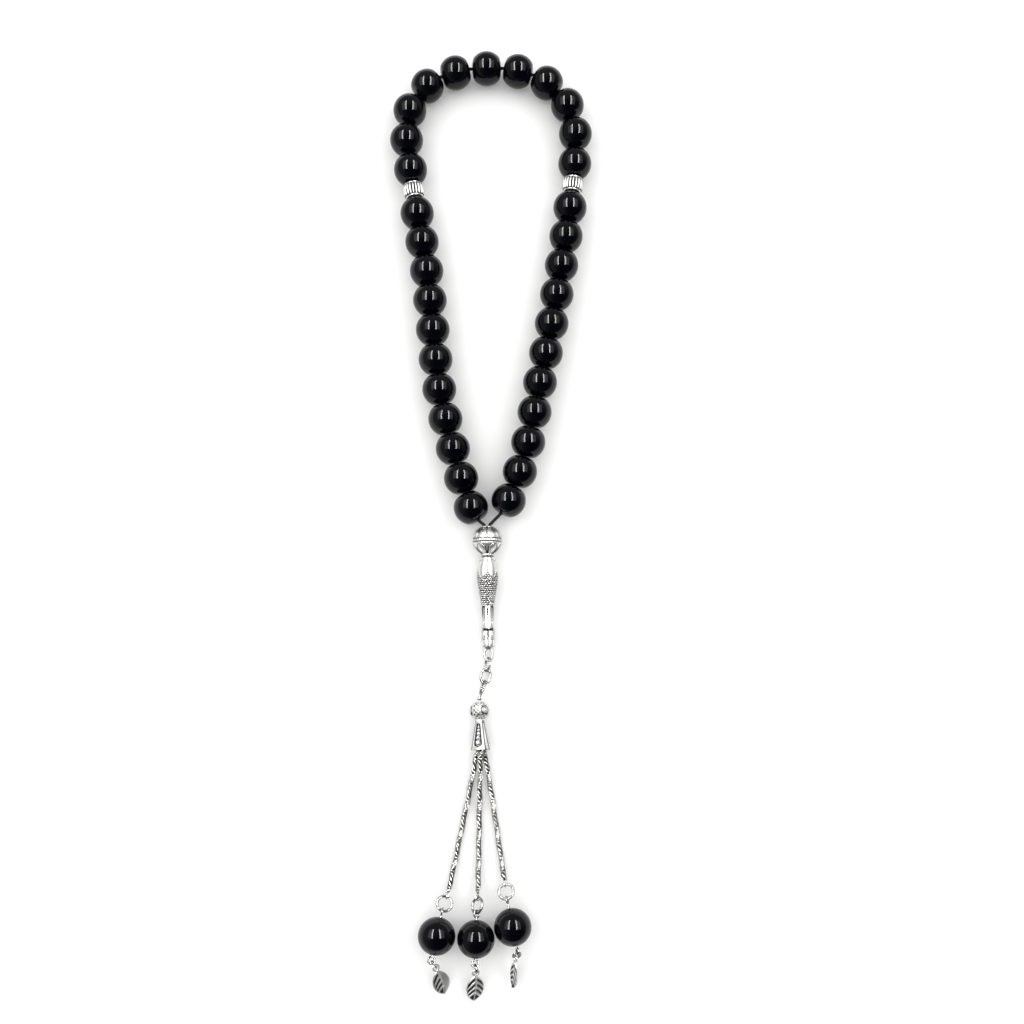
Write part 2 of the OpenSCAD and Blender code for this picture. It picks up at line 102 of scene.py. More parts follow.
class Shape:
    """Points and faces in millimetres, with how dark each point is painted, from 0 to 1: oxide in the hollows together
    with painted shade.
    """

    def __init__(self):
        self.points, self.faces, self.patina_and_shade = [], [], []

    def add(self, points, faces, patina_and_shade=None, place=None):
        first = len(self.points)
        self.points += [place @ Vector(p) if place else Vector(p) for p in points]
        self.patina_and_shade += patina_and_shade or [0.0] * len(points)
        self.faces += [[first + i for i in f] for f in faces]

    def make(self, name, body, material, replaces=(), sharp=40):
        """A mesh object that rides on the body. sharp is the angle in degrees past which an edge is sharp."""
        mesh = bpy.data.meshes.new(name)
        mesh.from_pydata([p * MM for p in self.points], [], self.faces)
        attribute = mesh.attributes.new("patina_and_shade", "FLOAT", "POINT")
        attribute.data.foreach_set("value", self.patina_and_shade)
        whole = bmesh.new()
        whole.from_mesh(mesh)
        bmesh.ops.recalc_face_normals(whole, faces=whole.faces)
        whole.to_mesh(mesh)
        whole.free()
        mesh.polygons.foreach_set("use_smooth", [True] * len(mesh.polygons))
        mesh.set_sharp_from_angle(angle=math.radians(sharp))
        mesh.materials.append(material)
        piece = bpy.data.objects.new(name, mesh)
        bpy.context.scene.collection.objects.link(piece)
        if body:
            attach(piece, body)
        if replaces:
            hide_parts(*replaces)
        return piece


def grid_faces(rows, columns, closed_rows=False, closed_columns=True):
    faces = []
    for i in range(rows if closed_rows else rows - 1):
        for k in range(columns if closed_columns else columns - 1):
            i2, k2 = (i + 1) % rows, (k + 1) % columns
            faces.append([i * columns + k, i2 * columns + k, i2 * columns + k2, i * columns + k2])
    return faces


def turned(shape, outline, place, turns=96, relief=None, closed=True):
    """Turns an outline of (distance along +X, radius) points about +X.

    Angle 0 is at +Z and grows towards +Y. relief(x, radius, angle) gives how far a point is pushed out
    and how dark it is painted, as oxide in the hollows and painted shade. A closed outline is a loop, as round a bore;
    an open one gets flat ends.
    """
    points, patina_and_shade = [], []
    for x, radius in outline:
        for k in range(turns):
            angle = 2 * math.pi * k / turns
            out, dark = relief(x, radius, angle) if relief else (0.0, 0.0)
            r = radius + out
            points.append((x, r * math.sin(angle), r * math.cos(angle)))
            patina_and_shade.append(dark)
    faces = grid_faces(len(outline), turns, closed_rows=closed)
    if not closed:
        faces.append(list(range(turns)))
        faces.append([(len(outline) - 1) * turns + k for k in range(turns)])
    shape.add(points, faces, patina_and_shade, place)


def tube(shape, path, radius, sides=14, closed=False, place=None, patina_and_shade=0.0):
    """A tube along a path of points. radius is a number or a function of the point's index."""
    path = [Vector(p) for p in path]
    count = len(path)
    points = []
    across = None
    first_across = None
    frames = []
    for i in range(count):
        before = path[(i - 1) % count] if closed or i > 0 else path[i]
        after = path[(i + 1) % count] if closed or i < count - 1 else path[i]
        way = (after - before).normalized()
        if across is None:
            across = way.orthogonal().normalized()
            first_across = across
        across = square_to(across, way)
        frames.append((way, across))
    twist = 0.0
    if closed:
        end = square_to(frames[-1][1], frames[0][0])
        side = frames[0][0].cross(first_across)
        twist = -math.atan2(end.dot(side), end.dot(first_across))
    for i, (way, u) in enumerate(frames):
        v = way.cross(u)
        r = radius(i) if callable(radius) else radius
        turn = twist * i / count
        for k in range(sides):
            a = 2 * math.pi * k / sides + turn
            points.append(path[i] + r * (math.cos(a) * u + math.sin(a) * v))
    faces = grid_faces(count, sides, closed_rows=closed)
    if not closed:
        faces.append(list(range(sides)))
        faces.append([(count - 1) * sides + k for k in range(sides)])
    shape.add(points, faces, [patina_and_shade] * len(points), place)


def arc(radius, start, end, steps, centre=(0, 0), stretch=1.0):
    """Points of an arc in the XY plane, angles in degrees; stretch lengthens it along X."""
    found = []
    for i in range(steps + 1):
        a = math.radians(start + (end - start) * i / steps)
        found.append(Vector((centre[0] + stretch * radius * math.cos(a), centre[1] + radius * math.sin(a), 0)))
    return found


def cut_ring(shape, radius, wire, place, gap_at=90.0, stretch=1.0, skew=0.05):
    """A ring bent from wire, with its two cut ends meeting at the angle gap_at."""
    half_gap = math.degrees(0.03 / radius)
    path = arc(radius, gap_at + half_gap, gap_at + 360 - half_gap, 56, stretch=stretch)
    last = len(path) - 1
    for i, p in enumerate(path):
        p.z = skew * (i / last - 0.5) * (abs(i / last - 0.5) * 2) ** 6
    tube(shape, path, lambda i: wire / 2 * (0.86 if i in (0, last) else 1), 16, place=place)


def smooth_min(a, b, sharpness):
    return -math.log(math.exp(-sharpness * a) + math.exp(-sharpness * b)) / sharpness


def bump(d, width):
    """A rounded ridge: 1 at d = 0, falling to 0 past the width."""
    return math.exp(-((d / width) ** 2))


def step(x, low, high):
    """0 below low, 1 above high, and smooth between them."""
    t = min(1.0, max(0.0, (x - low) / (high - low)))
    return t * t * (3 - 2 * t)


def wrapped(angle, period):
    """The angle brought to between minus and plus half of the period."""
    return (angle + period / 2) % period - period / 2


# ---- materials -----------------------------------------------------------------------------


def new_material(name):
    material = bpy.data.materials.new(name)
    material.use_nodes = True
    nodes = material.node_tree.nodes
    nodes.clear()
    output = nodes.new("ShaderNodeOutputMaterial")
    shader = nodes.new("ShaderNodeBsdfPrincipled")
    material.node_tree.links.new(shader.outputs["BSDF"], output.inputs["Surface"])
    return material, nodes, material.node_tree.links, shader


def noise_node(nodes, links, scale, detail=4.0, roughness=0.55):
    """Noise over the piece's own coordinates; scale is in features per metre."""
    place = nodes.new("ShaderNodeTexCoord")
    texture = nodes.new("ShaderNodeTexNoise")
    texture.inputs["Scale"].default_value = scale
    texture.inputs["Detail"].default_value = detail
    texture.inputs["Roughness"].default_value = roughness
    links.new(place.outputs["Object"], texture.inputs["Vector"])
    return texture


def ramp_node(nodes, links, source, stops):
    ramp = nodes.new("ShaderNodeValToRGB")
    while len(ramp.color_ramp.elements) < len(stops):
        ramp.color_ramp.elements.new(0.5)
    for element, (position, colour) in zip(ramp.color_ramp.elements, stops):
        element.position = position
        element.color = (*colour, 1) if len(colour) == 3 else colour
    links.new(source, ramp.inputs["Fac"])
    return ramp


def grey(value):
    return (value, value, value)


def onyx():
    """Polished black stone: cloudy tints deep in the black, and fine polishing haze."""
    material, nodes, links, shader = new_material("onyx")
    clouds = noise_node(nodes, links, 120, 5)
    tints = ramp_node(
        nodes,
        links,
        clouds.outputs["Fac"],
        [
            (0.30, (0.0006, 0.0006, 0.0008)),
            (0.47, (0.0012, 0.0009, 0.0034)),
            (0.55, (0.0006, 0.0013, 0.0018)),
            (0.72, (0.0018, 0.0019, 0.0028)),
        ],
    )
    links.new(tints.outputs["Color"], shader.inputs["Base Color"])
    haze = noise_node(nodes, links, 900, 3)
    polish = ramp_node(nodes, links, haze.outputs["Fac"], [(0.35, grey(0.03)), (0.75, grey(0.06))])
    links.new(polish.outputs["Color"], shader.inputs["Roughness"])
    swirl = nodes.new("ShaderNodeBump")
    swirl.inputs["Strength"].default_value = 0.03
    swirl.inputs["Distance"].default_value = 0.0001
    links.new(haze.outputs["Fac"], swirl.inputs["Height"])
    links.new(swirl.outputs["Normal"], shader.inputs["Normal"])
    shader.inputs["IOR"].default_value = 1.54
    shader.inputs["Specular IOR Level"].default_value = 0.22
    return material


def silver(name, bright, dark, rough, wear_scale, bump_strength, edge):
    """Silver plate: bright where it is rubbed, dark where the mesh's darkness attribute says, which holds oxide in the
    hollows and painted shade, with fine wear.
    """
    material, nodes, links, shader = new_material(name)
    shader.inputs["Metallic"].default_value = 1.0
    shader.inputs["Specular Tint"].default_value = (*grey(edge), 1)
    # The darkness attribute read here is oxide in the hollows together with painted shade
    patina_and_shade = nodes.new("ShaderNodeAttribute")
    patina_and_shade.attribute_name = "patina_and_shade"
    stain = noise_node(nodes, links, wear_scale, 5)
    spread = nodes.new("ShaderNodeMath")
    spread.operation = "MULTIPLY_ADD"
    spread.inputs[1].default_value = 0.5
    spread.inputs[2].default_value = -0.22
    links.new(stain.outputs["Fac"], spread.inputs[0])
    total = nodes.new("ShaderNodeMath")
    total.operation = "ADD"
    total.use_clamp = True
    links.new(patina_and_shade.outputs["Fac"], total.inputs[0])
    links.new(spread.outputs[0], total.inputs[1])
    colour = ramp_node(nodes, links, total.outputs[0], [(0.08, bright), (0.45, tuple(0.55 * b for b in bright)), (0.95, dark)])
    links.new(colour.outputs["Color"], shader.inputs["Base Color"])
    finish = ramp_node(nodes, links, total.outputs[0], [(0.0, grey(rough)), (0.9, grey(min(1, rough + 0.35)))])
    links.new(finish.outputs["Color"], shader.inputs["Roughness"])
    scratches = noise_node(nodes, links, 2600, 3)
    dents = nodes.new("ShaderNodeBump")
    dents.inputs["Strength"].default_value = bump_strength
    dents.inputs["Distance"].default_value = 0.00005
    links.new(scratches.outputs["Fac"], dents.inputs["Height"])
    links.new(dents.outputs["Normal"], shader.inputs["Normal"])
    return material


def braid():
    """Black nylon: dull, with lighter rubbed fibres."""
    material, nodes, links, shader = new_material("cord")
    fibres = noise_node(nodes, links, 5200, 3)
    colour = ramp_node(nodes, links, fibres.outputs["Fac"], [(0.35, (0.002, 0.002, 0.002)), (0.75, (0.010, 0.010, 0.011))])
    links.new(colour.outputs["Color"], shader.inputs["Base Color"])
    shader.inputs["Roughness"].default_value = 0.62
    shader.inputs["Sheen Weight"].default_value = 0.06
    shader.inputs["Specular IOR Level"].default_value = 0.25
    fuzz = nodes.new("ShaderNodeBump")
    fuzz.inputs["Strength"].default_value = 0.4
    fuzz.inputs["Distance"].default_value = 0.00004
    links.new(fibres.outputs["Fac"], fuzz.inputs["Height"])
    links.new(fuzz.outputs["Normal"], shader.inputs["Normal"])
    return material


def crystal():
    """Small clear stones with a silvered back, seen as bright faces."""
    material, nodes, links, shader = new_material("pave_stone")
    shader.inputs["Metallic"].default_value = 0.85
    # Painted glints: the stones' colour brightens and darkens in patches to stand for facets catching light
    glints = noise_node(nodes, links, 1500, 2)
    colour = ramp_node(nodes, links, glints.outputs["Fac"], [(0.35, (0.30, 0.31, 0.34)), (0.65, (0.90, 0.91, 0.93))])
    links.new(colour.outputs["Color"], shader.inputs["Base Color"])
    shader.inputs["Roughness"].default_value = 0.06
    return material


ONYX = onyx()
ANTIQUE = silver("antique_silver", (0.90, 0.90, 0.885), (0.020, 0.020, 0.018), 0.27, 260, 0.10, 0.45)
WIRE = silver("silver_wire", (0.40, 0.40, 0.39), (0.04, 0.04, 0.036), 0.12, 180, 0.05, 0.10)
CHAIN = silver("chain_silver", (0.90, 0.895, 0.875), (0.018, 0.018, 0.016), 0.15, 420, 0.08, 0.20)
BRAID = braid()
CRYSTAL = crystal()


# ---- camera, light and floor ---------------------------------------------------------------

CAMERA_AT = (0.0063, -0.0761, 0.3587)
CAMERA_TILT = 8.3


def camera():
    lens = bpy.data.cameras.new("camera")
    lens.sensor_width = 36
    lens.lens = 43.95
    lens.shift_y = 0.073
    lens.clip_start = 0.01
    made = bpy.data.objects.new("camera", lens)
    made.location = CAMERA_AT
    made.rotation_euler = (math.radians(CAMERA_TILT), 0, 0)
    bpy.context.scene.collection.objects.link(made)
    bpy.context.scene.camera = made


def ceiling_light(x, width, radiance, only_seen=False):
    """A long light on the ceiling that runs away from the camera. One that is only seen lights nothing."""
    height, near, far = 1.0, -0.25, 1.05
    light = bpy.data.lights.new("ceiling", "AREA")
    light.shape = "RECTANGLE"
    light.size, light.size_y = width, far - near
    light.energy = math.pi * width * (far - near) * radiance
    light.color = (1.0, 0.99, 0.975)
    made = bpy.data.objects.new("ceiling", light)
    made.location = (CAMERA_AT[0] + x, (near + far) / 2, height)
    made.rotation_euler = (0, math.atan2(x, height) * 0.8, 0)
    made.visible_diffuse = not only_seen
    bpy.context.scene.collection.objects.link(made)


def ceiling_lights():
    """To each side of the camera, two thin tubes that show as streaks on the beads, and a wide soft panel."""
    for side in (-1, 1):
        ceiling_light(side * 0.43, 0.042, 66, only_seen=True)
        ceiling_light(side * 0.55, 0.028, 36, only_seen=True)
        ceiling_light(side * 0.85, 0.50, 1.5)


# Towards whoever takes the picture, which is where the room looks darkest
DARK_WAY = (0.42, -0.66, 0.62)


def room():
    """A pale room that lights the piece evenly, but is dim in reflections towards the camera's side."""
    world = bpy.data.worlds.new("room")
    bpy.context.scene.world = world
    world.use_nodes = True
    nodes, links = world.node_tree.nodes, world.node_tree.links
    nodes.clear()
    place = nodes.new("ShaderNodeTexCoord")
    toward = nodes.new("ShaderNodeVectorMath")
    toward.operation = "DOT_PRODUCT"
    toward.inputs[1].default_value = DARK_WAY
    links.new(place.outputs["Generated"], toward.inputs[0])
    dim = ramp_node(nodes, links, toward.outputs["Value"], [(0.20, grey(0.40)), (0.60, grey(0.12)), (0.90, grey(0.01))])
    parts = nodes.new("ShaderNodeSeparateXYZ")
    links.new(place.outputs["Generated"], parts.inputs[0])
    low = ramp_node(nodes, links, parts.outputs["Z"], [(0.02, grey(1)), (0.12, grey(0))])
    seen = nodes.new("ShaderNodeMix")
    seen.data_type = "RGBA"
    links.new(low.outputs["Color"], seen.inputs["Factor"])
    links.new(dim.outputs["Color"], seen.inputs["A"])
    seen.inputs["B"].default_value = (0.6, 0.6, 0.6, 1)
    ray = nodes.new("ShaderNodeLightPath")
    mix = nodes.new("ShaderNodeMix")
    mix.data_type = "RGBA"
    links.new(ray.outputs["Is Glossy Ray"], mix.inputs["Factor"])
    mix.inputs["A"].default_value = (1.15, 1.15, 1.155, 1)
    links.new(seen.outputs["Result"], mix.inputs["B"])
    camera_mix = nodes.new("ShaderNodeMix")
    camera_mix.data_type = "RGBA"
    links.new(ray.outputs["Is Camera Ray"], camera_mix.inputs["Factor"])
    links.new(mix.outputs["Result"], camera_mix.inputs["A"])
    camera_mix.inputs["B"].default_value = (0.93, 0.93, 0.93, 1)
    background = nodes.new("ShaderNodeBackground")
    background.inputs["Strength"].default_value = 1.0
    output = nodes.new("ShaderNodeOutputWorld")
    links.new(camera_mix.outputs["Result"], background.inputs["Color"])
    links.new(background.outputs[0], output.inputs["Surface"])


def floor():
    """White card with a faint tone."""
    material, nodes, links, shader = new_material("floor")
    tone = noise_node(nodes, links, 9, 3)
    colour = ramp_node(nodes, links, tone.outputs["Fac"], [(0.3, (0.925, 0.925, 0.915)), (0.7, (0.95, 0.95, 0.945))])
    links.new(colour.outputs["Color"], shader.inputs["Base Color"])
    shader.inputs["Roughness"].default_value = 0.6
    shader.inputs["Specular IOR Level"].default_value = 0.2
    half = 3.0
    mesh = bpy.data.meshes.new("floor")
    mesh.from_pydata([(-half, -half, 0), (half, -half, 0), (half, half, 0), (-half, half, 0)], [], [(0, 1, 2, 3)])
    mesh.materials.append(material)
    made = bpy.data.objects.new("floor", mesh)
    bpy.context.scene.collection.objects.link(made)


camera()
ceiling_lights()
room()
floor()
settings = bpy.context.scene.view_settings
settings.view_transform = "Standard"
settings.look = "None"
settings.exposure = 0.0


# ---- the cord ------------------------------------------------------------------------------

# The part's own route, from the leader's mouth round the loop and back, in metres
ROUTE = [
    (-0.0014, -0.0065), (-0.0055, -0.0015), (-0.0085, 0.0075), (-0.0110, 0.0165), (-0.0150, 0.0340),
    (-0.0170, 0.0515), (-0.0190, 0.0700), (-0.0220, 0.0880), (-0.0240, 0.1010), (-0.0255, 0.1120),
    (-0.0245, 0.1215), (-0.0195, 0.1290), (-0.0110, 0.1334), (-0.0015, 0.1348), (0.0080, 0.1339),
    (0.0170, 0.1300), (0.0230, 0.1230), (0.0255, 0.1130), (0.0250, 0.1020), (0.0235, 0.0890),
    (0.0210, 0.0720), (0.0180, 0.0540), (0.0145, 0.0360), (0.0110, 0.0180), (0.0085, 0.0090),
    (0.0055, 0.0010), (-0.0004, -0.0065),
]
CORD_D = 0.9
BEAD_L = 8.9
SPACER_L = 4.5
BEADS, GROUP = 33, 11
LEAD_IN, SIDE_PITCH, ARCH_PITCH, SPACER_PITCH = 6.6, 9.15, 9.6, 14.0
STRING_Z = 5.0
KNOT_S, KNOT_D = 12.0, 2.3
LEADER = joint_axis("tower_spin")
MOUTH = joint_at("tower_spin")


def route_curve(steps=10):
    """The smooth curve through the route's points, in millimetres."""
    points = [Vector((x, y)) / MM for x, y in ROUTE]
    last = len(points) - 1

    def heading(i):
        if i == 0:
            return (points[1] - points[0]).normalized()
        if i == last:
            return (points[last] - points[last - 1]).normalized()
        a, b = points[i] - points[i - 1], points[i + 1] - points[i]
        return (a * (b.length / a.length) + b * (a.length / b.length)).normalized()

    found = []
    for i in range(last):
        a, b = points[i], points[i + 1]
        reach = (b - a).length
        for k in range(steps):
            t = k / steps
            found.append(
                (2 * t**3 - 3 * t**2 + 1) * a
                + (t**3 - 2 * t**2 + t) * reach * heading(i)
                + (3 * t**2 - 2 * t**3) * b
                + (t**3 - t**2) * reach * heading(i + 1)
            )
    return [*found, points[last]]


CURVE = route_curve()
ALONG = [0.0]
for before, after in zip(CURVE, CURVE[1:]):
    ALONG.append(ALONG[-1] + (after - before).length)


def on_cord(s):
    """The place on the cord at the length s from the mouth."""
    i = next((k for k in range(1, len(ALONG)) if ALONG[k] >= s), len(ALONG) - 1)
    t = (s - ALONG[i - 1]) / (ALONG[i] - ALONG[i - 1])
    p = CURVE[i - 1].lerp(CURVE[i], t)
    return Vector((p.x, p.y, STRING_Z))


def stations():
    """Where each bead and spacer is along the cord, and its length."""
    s = LEAD_IN
    found = []
    for group, pitch in enumerate((SIDE_PITCH, ARCH_PITCH, SIDE_PITCH)):
        for i in range(GROUP):
            found.append((s, BEAD_L))
            s += pitch if i < GROUP - 1 else SPACER_PITCH
        if group < 2:
            found.append((s - SPACER_PITCH / 2, SPACER_L))
    return found


def tail(side, s):
    """The two ends run side by side down the leader."""
    return MOUTH + s * LEADER + Vector((side * (CORD_D / 2 + 0.03), 0, 0))


def cord_spine():
    """Straight inside each bead and spacer, bent only between them, with both ends in the leader."""
    spine = [tail(-1, KNOT_S - 0.6), tail(-1, 8), tail(-1, 3), tail(-1, 0.2)]
    for s, length in stations():
        middle = on_cord(s)
        way = (on_cord(s + 0.5) - on_cord(s - 0.5)).normalized()
        spine += [middle - way * length / 2, middle + way * length / 2]
    return [*spine, tail(1, 0.2), tail(1, 3), tail(1, 8), tail(1, KNOT_S - 0.6)]


def even_path(points, pitch):
    """The same line with points at an even pitch."""
    found, rest = [points[0].copy()], pitch
    for a, b in zip(points, points[1:]):
        length = (b - a).length
        at = rest
        while at <= length:
            found.append(a.lerp(b, at / length))
            at += pitch
        rest = at - length
    return found


def softened(points, reach):
    """Each point moved to the mean of its neighbours within reach on each side; the ends stay."""
    last = len(points) - 1
    found = []
    for i in range(len(points)):
        r = min(reach, i, last - i)
        near = points[i - r : i + r + 1]
        found.append(sum(near, Vector()) / len(near))
    return found


def cord():
    """The braided cord, bending at the leader's mouth, and the knot that holds its ends."""
    pitch = 0.22
    path = softened(even_path(cord_spine(), pitch), 3)
    sides = 16
    shape = Shape()
    tube(shape, path, CORD_D / 2, sides)
    # Plaits: two families of strands that cross round the cord
    strands, lay = 4, 2.4
    for i in range(len(path)):
        for k in range(sides):
            a = 2 * math.pi * k / sides
            along = 2 * math.pi * i * pitch / lay
            weave = math.cos(strands * a + along) * math.cos(strands * a - along)
            n = i * sides + k
            out = (shape.points[n] - path[i]).normalized()
            shape.points[n] += out * 0.028 * weave
    piece = shape.make("cord_braid", None, BRAID, ["cord"], sharp=80)
    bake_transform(piece)
    knot = Shape()
    middle = MOUTH + KNOT_S * LEADER
    side = Vector((1, 0, 0))
    up = square_to(Vector((0, 0, 1)), LEADER)
    coil = []
    turns, steps = 3, 40
    for i in range(turns * steps + 1):
        a = 2 * math.pi * i / steps
        r = KNOT_D / 2 - CORD_D / 2 - 0.03
        coil.append(middle + LEADER * (0.75 * (i / steps) - 0.6) + r * (math.cos(a) * side + math.sin(a) * up))
    tube(knot, coil, CORD_D / 2, 12)
    knot.make("cord_knot", "imam_ball", BRAID)


cord()


# ---- string beads, spacers and drops ---------------------------------------------------------


def stone_outline(radius, end_x, end_r, bore_r, steps=52):
    """A ball whose ends are shallower domes, with a rounded edge where the bore comes out."""
    centre = end_r - end_x
    lip = 0.17
    outer = []
    start = math.asin((bore_r + lip) / end_x)
    for i in range(steps + 1):
        a = start + (math.pi - 2 * start) * i / steps
        c = abs(math.cos(a))
        dome = -centre * c + math.sqrt(centre * centre * c * c + end_r**2 - centre**2)
        reach = smooth_min(radius, dome, 14) if end_r > radius else radius
        outer.append((reach * math.cos(a), reach * math.sin(a)))
    top = outer[0][0]
    edge = [(top - lip * (1 - math.cos(t)), bore_r + lip * (1 - math.sin(t))) for t in (1.1, 0.7, 0.35)]
    edge = [(top - lip * 0.08, bore_r + lip * 0.55), (top - lip * 0.4, bore_r + lip * 0.15), (top - lip, bore_r)]
    bore = [(x, bore_r) for x in (top * 0.5, 0, -top * 0.5)]
    back = [(-x, r) for x, r in reversed(edge)]
    return outer[::-1] + edge + bore + back


def bead(i):
    name = f"bead_{i:02d}"
    shape = Shape()
    place = aimed(joint_at(name + "_spin"), joint_axis(name + "_spin"), 47 * i)
    turned(shape, BEAD_OUTLINE, place, 72)
    shape.make(name + "_stone", name, ONYX, [name])


BEAD_OUTLINE = stone_outline(5.0, BEAD_L / 2, 10.0, 0.7)
for number in range(1, BEADS + 1):
    bead(number)


def spacer(side):
    """A barrel with a bright rim at each end and twenty round ribs between them."""
    name = "spacer_" + side
    rim_r, bore, ribs = 0.28, 0.7, 20
    half = SPACER_L / 2
    place = aimed(joint_at(name + "_spin"), joint_axis(name + "_spin"))
    body = Shape()

    def relief(x, radius, angle):
        # The bore and the end faces are darkened: painted shade
        if radius < 2.0:
            return 0.0, 0.3
        # Darkness between the ribs and towards both ends, by the rims: oxide in the grooves and painted shade
        t = min(1.0, abs(x) / (half - 0.5))
        rib = abs(math.cos(ribs * angle / 2)) ** 1.1
        return -0.48 * (1 - rib) * (1 - t**6), min(1.0, 1.35 * (1 - rib) + 0.9 * t**8)

    outline = [(-half + 0.1, bore), (-half + 0.1, 2.2)]
    steps = 30
    for i in range(steps + 1):
        x = (half - 0.3) * (2 * i / steps - 1)
        outline.append((x, 2.35 + 0.85 * math.sqrt(1 - 0.92 * (x / (half - 0.3)) ** 2)))
    outline += [(half - 0.1, 2.2), (half - 0.1, bore)]
    turned(body, outline, place, ribs * 12, relief)
    for end in (-1, 1):
        path = [Vector((end * (half - rim_r), 2.42 * math.sin(a), 2.42 * math.cos(a))) for a in steps_round(96)]
        tube(body, path, rim_r, 14, closed=True, place=place)
    body.make(name + "_ribs", name, ANTIQUE, [name])


def steps_round(count):
    return [2 * math.pi * k / count for k in range(count)]


spacer("left")
spacer("right")


# ---- the leader ------------------------------------------------------------------------------

BALL_S, BALL_R = 4.4, 4.2
LEADER_PLACE = aimed(MOUTH, LEADER)
# Ring clearances and wires, as the part has them
AIR = 0.05
EYE_WIRE, RING_WIRE, LINK_WIRE, PIN_WIRE, THIN_WIRE, CHARM_WIRE, JUMP_WIRE = 0.75, 0.55, 0.7, 0.6, 0.5, 0.55, 0.75


def ball_relief(x, radius, angle):
    """Six engraved panels above, a double line round the middle, six petals below."""
    # Inside the bore the darkness is painted shade
    if radius < 1.2:
        return 0.0, 0.5
    latitude = math.degrees(math.atan2(x - BALL_S, radius))
    degrees = math.degrees(angle)
    around = wrapped(degrees - 30, 60)
    mm_around = radius * math.radians(abs(around))
    mm_edge = radius * math.radians(30 - abs(around))
    out, dark = 0.0, 0.0
    # Double line round the middle, with a milled strip between
    for line in (-5.5, 7.0):
        g = bump(BALL_R * math.radians(latitude - line), 0.16)
        out -= 0.16 * g
        dark += 0.9 * g
    strip = step(latitude, -4.5, -2.5) * step(-latitude, -6.0, -4.0)
    mill = 0.5 + 0.5 * math.cos(math.radians(degrees * 36))
    out += 0.08 * strip * mill
    dark += 0.45 * strip * (1 - mill)
    if latitude < -8:
        # Panels: a line down each edge, and an arched head with flowers above it
        side = bump(mm_edge, 0.17)
        head = BALL_R * math.radians(latitude + 46) + 0.9 * (mm_around / 1.4) ** 2
        arch = bump(head, 0.15) * step(latitude, -62, -55)
        below = step(head, 0.0, 0.2)
        inner = bump(mm_edge - 0.5, 0.12) * below
        foot = bump(BALL_R * math.radians(latitude + 12), 0.14)
        out -= 0.17 * max(side, 0.8 * arch) + 0.07 * max(inner, 0.8 * foot)
        dark += 0.95 * side + 0.75 * arch + 0.45 * max(inner, 0.8 * foot)
        out += 0.10 * below * (1 - min(1, (mm_around / 1.9) ** 2))
        above = (1 - below) * step(latitude, -70, -64)
        flower = 0.5 + 0.5 * math.cos(math.radians(degrees * 18)) * math.cos(math.radians(latitude * 22))
        out += 0.10 * above * flower
        dark += 0.8 * above * (1 - flower)
    if latitude > 8:
        # Petals: each rounded at its head and drawn in towards the collar
        t = (latitude - 16) / 46
        if t > 0:
            half = 1.62 * math.sqrt(min(1.0, t / 0.30)) * (1 - 0.50 * min(1.0, t) ** 1.3)
            outline = bump(half - mm_around, 0.20)
            second = bump(half - mm_around - 0.50, 0.12) * step(t, 0.16, 0.26)
            inside = step(half - mm_around, -0.05, 0.3)
            dots = 0.5 + 0.5 * math.cos(math.radians(degrees * 30)) * math.cos(math.radians(latitude * 30))
            out += 0.10 * inside - 0.26 * outline - 0.07 * second
            dark += 1.1 * outline + 0.6 * second + 0.30 * inside * dots * step(half - mm_around, 0.6, 0.8)
            between = step(mm_around - half, 0.15, 0.3)
            spear = bump(mm_edge, 0.12) * step(t, 0.35, 0.5)
            out -= 0.12 * spear
            dark += 0.8 * spear + 0.30 * between * (0.5 + 0.5 * math.cos(math.radians(latitude * 40)))
        else:
            chain = 0.5 + 0.5 * math.cos(math.radians(degrees * 30))
            out += 0.05 * chain
            dark += 0.25 * (1 - chain)
    return out, min(1.0, dark)


def imam_ball():
    bore = 1.05
    outline = [(8.9, bore), (0.95, bore), (0.75, bore + 0.15), (0.45, bore + 0.45), (0.38, bore + 0.62)]
    steps = 150
    first, last = -67.0, 62.5
    for i in range(steps + 1):
        a = math.radians(first + (last - first) * i / steps)
        outline.append((BALL_S + BALL_R * math.sin(a), BALL_R * math.cos(a)))
    shape = Shape()
    outline += [(8.25, 1.92), (8.35, 1.75), (8.9, 1.75)]
    turned(shape, outline, LEADER_PLACE, 288, ball_relief)
    # The scalloped collar under the petals
    collar = []
    for i in range(13):
        a = math.pi * i / 12
        collar.append((8.6 - 0.26 * math.cos(a), 1.74 + 0.17 * math.sin(a)))

    def lobes(x, radius, angle):
        lobe = abs(math.cos(4.5 * angle)) ** 0.6
        return 0.10 * (lobe - 0.6), 0.7 * (1 - lobe)

    turned(shape, collar, LEADER_PLACE, 144, lobes)
    shape.make("imam_ball_engraved", "imam_ball", ANTIQUE, ["imam_ball"])


# Radius of the tower at each distance from the mouth, as in the part
TOWER = [
    (9.05, 1.45), (9.3, 1.95), (10.4, 2.35), (12, 2.8), (14.1, 3.03), (16, 2.9), (18, 2.6), (20.5, 2.15),
    (23.3, 1.8), (26, 1.72), (28.2, 1.62), (29.3, 1.8), (29.8, 1.8), (29.95, 1.42), (30.15, 1.42),
    (30.3, 1.83), (32.5, 1.87), (34.8, 1.88), (35.15, 1.5), (35.3, 0.66), (35.75, 0.62),
]


def smooth_line(points, x):
    """The radius at x on a line through the points, rounded between the wide ones."""
    for i in range(len(points) - 1):
        (x0, r0), (x1, r1) = points[i], points[i + 1]
        if x <= x1:
            t = (x - x0) / (x1 - x0)
            if x1 - x0 < 0.9 or i == 0 or i + 2 >= len(points):
                return r0 + (r1 - r0) * t
            m0 = (r1 - points[i - 1][1]) / (x1 - points[i - 1][0])
            m1 = (points[i + 2][1] - r0) / (points[i + 2][0] - x0)
            h = x1 - x0
            t2, t3 = t * t, t * t * t
            return (2 * t3 - 3 * t2 + 1) * r0 + (t3 - 2 * t2 + t) * h * m0 + (3 * t2 - 2 * t3) * r1 + (t3 - t2) * h * m1
    return points[-1][1]


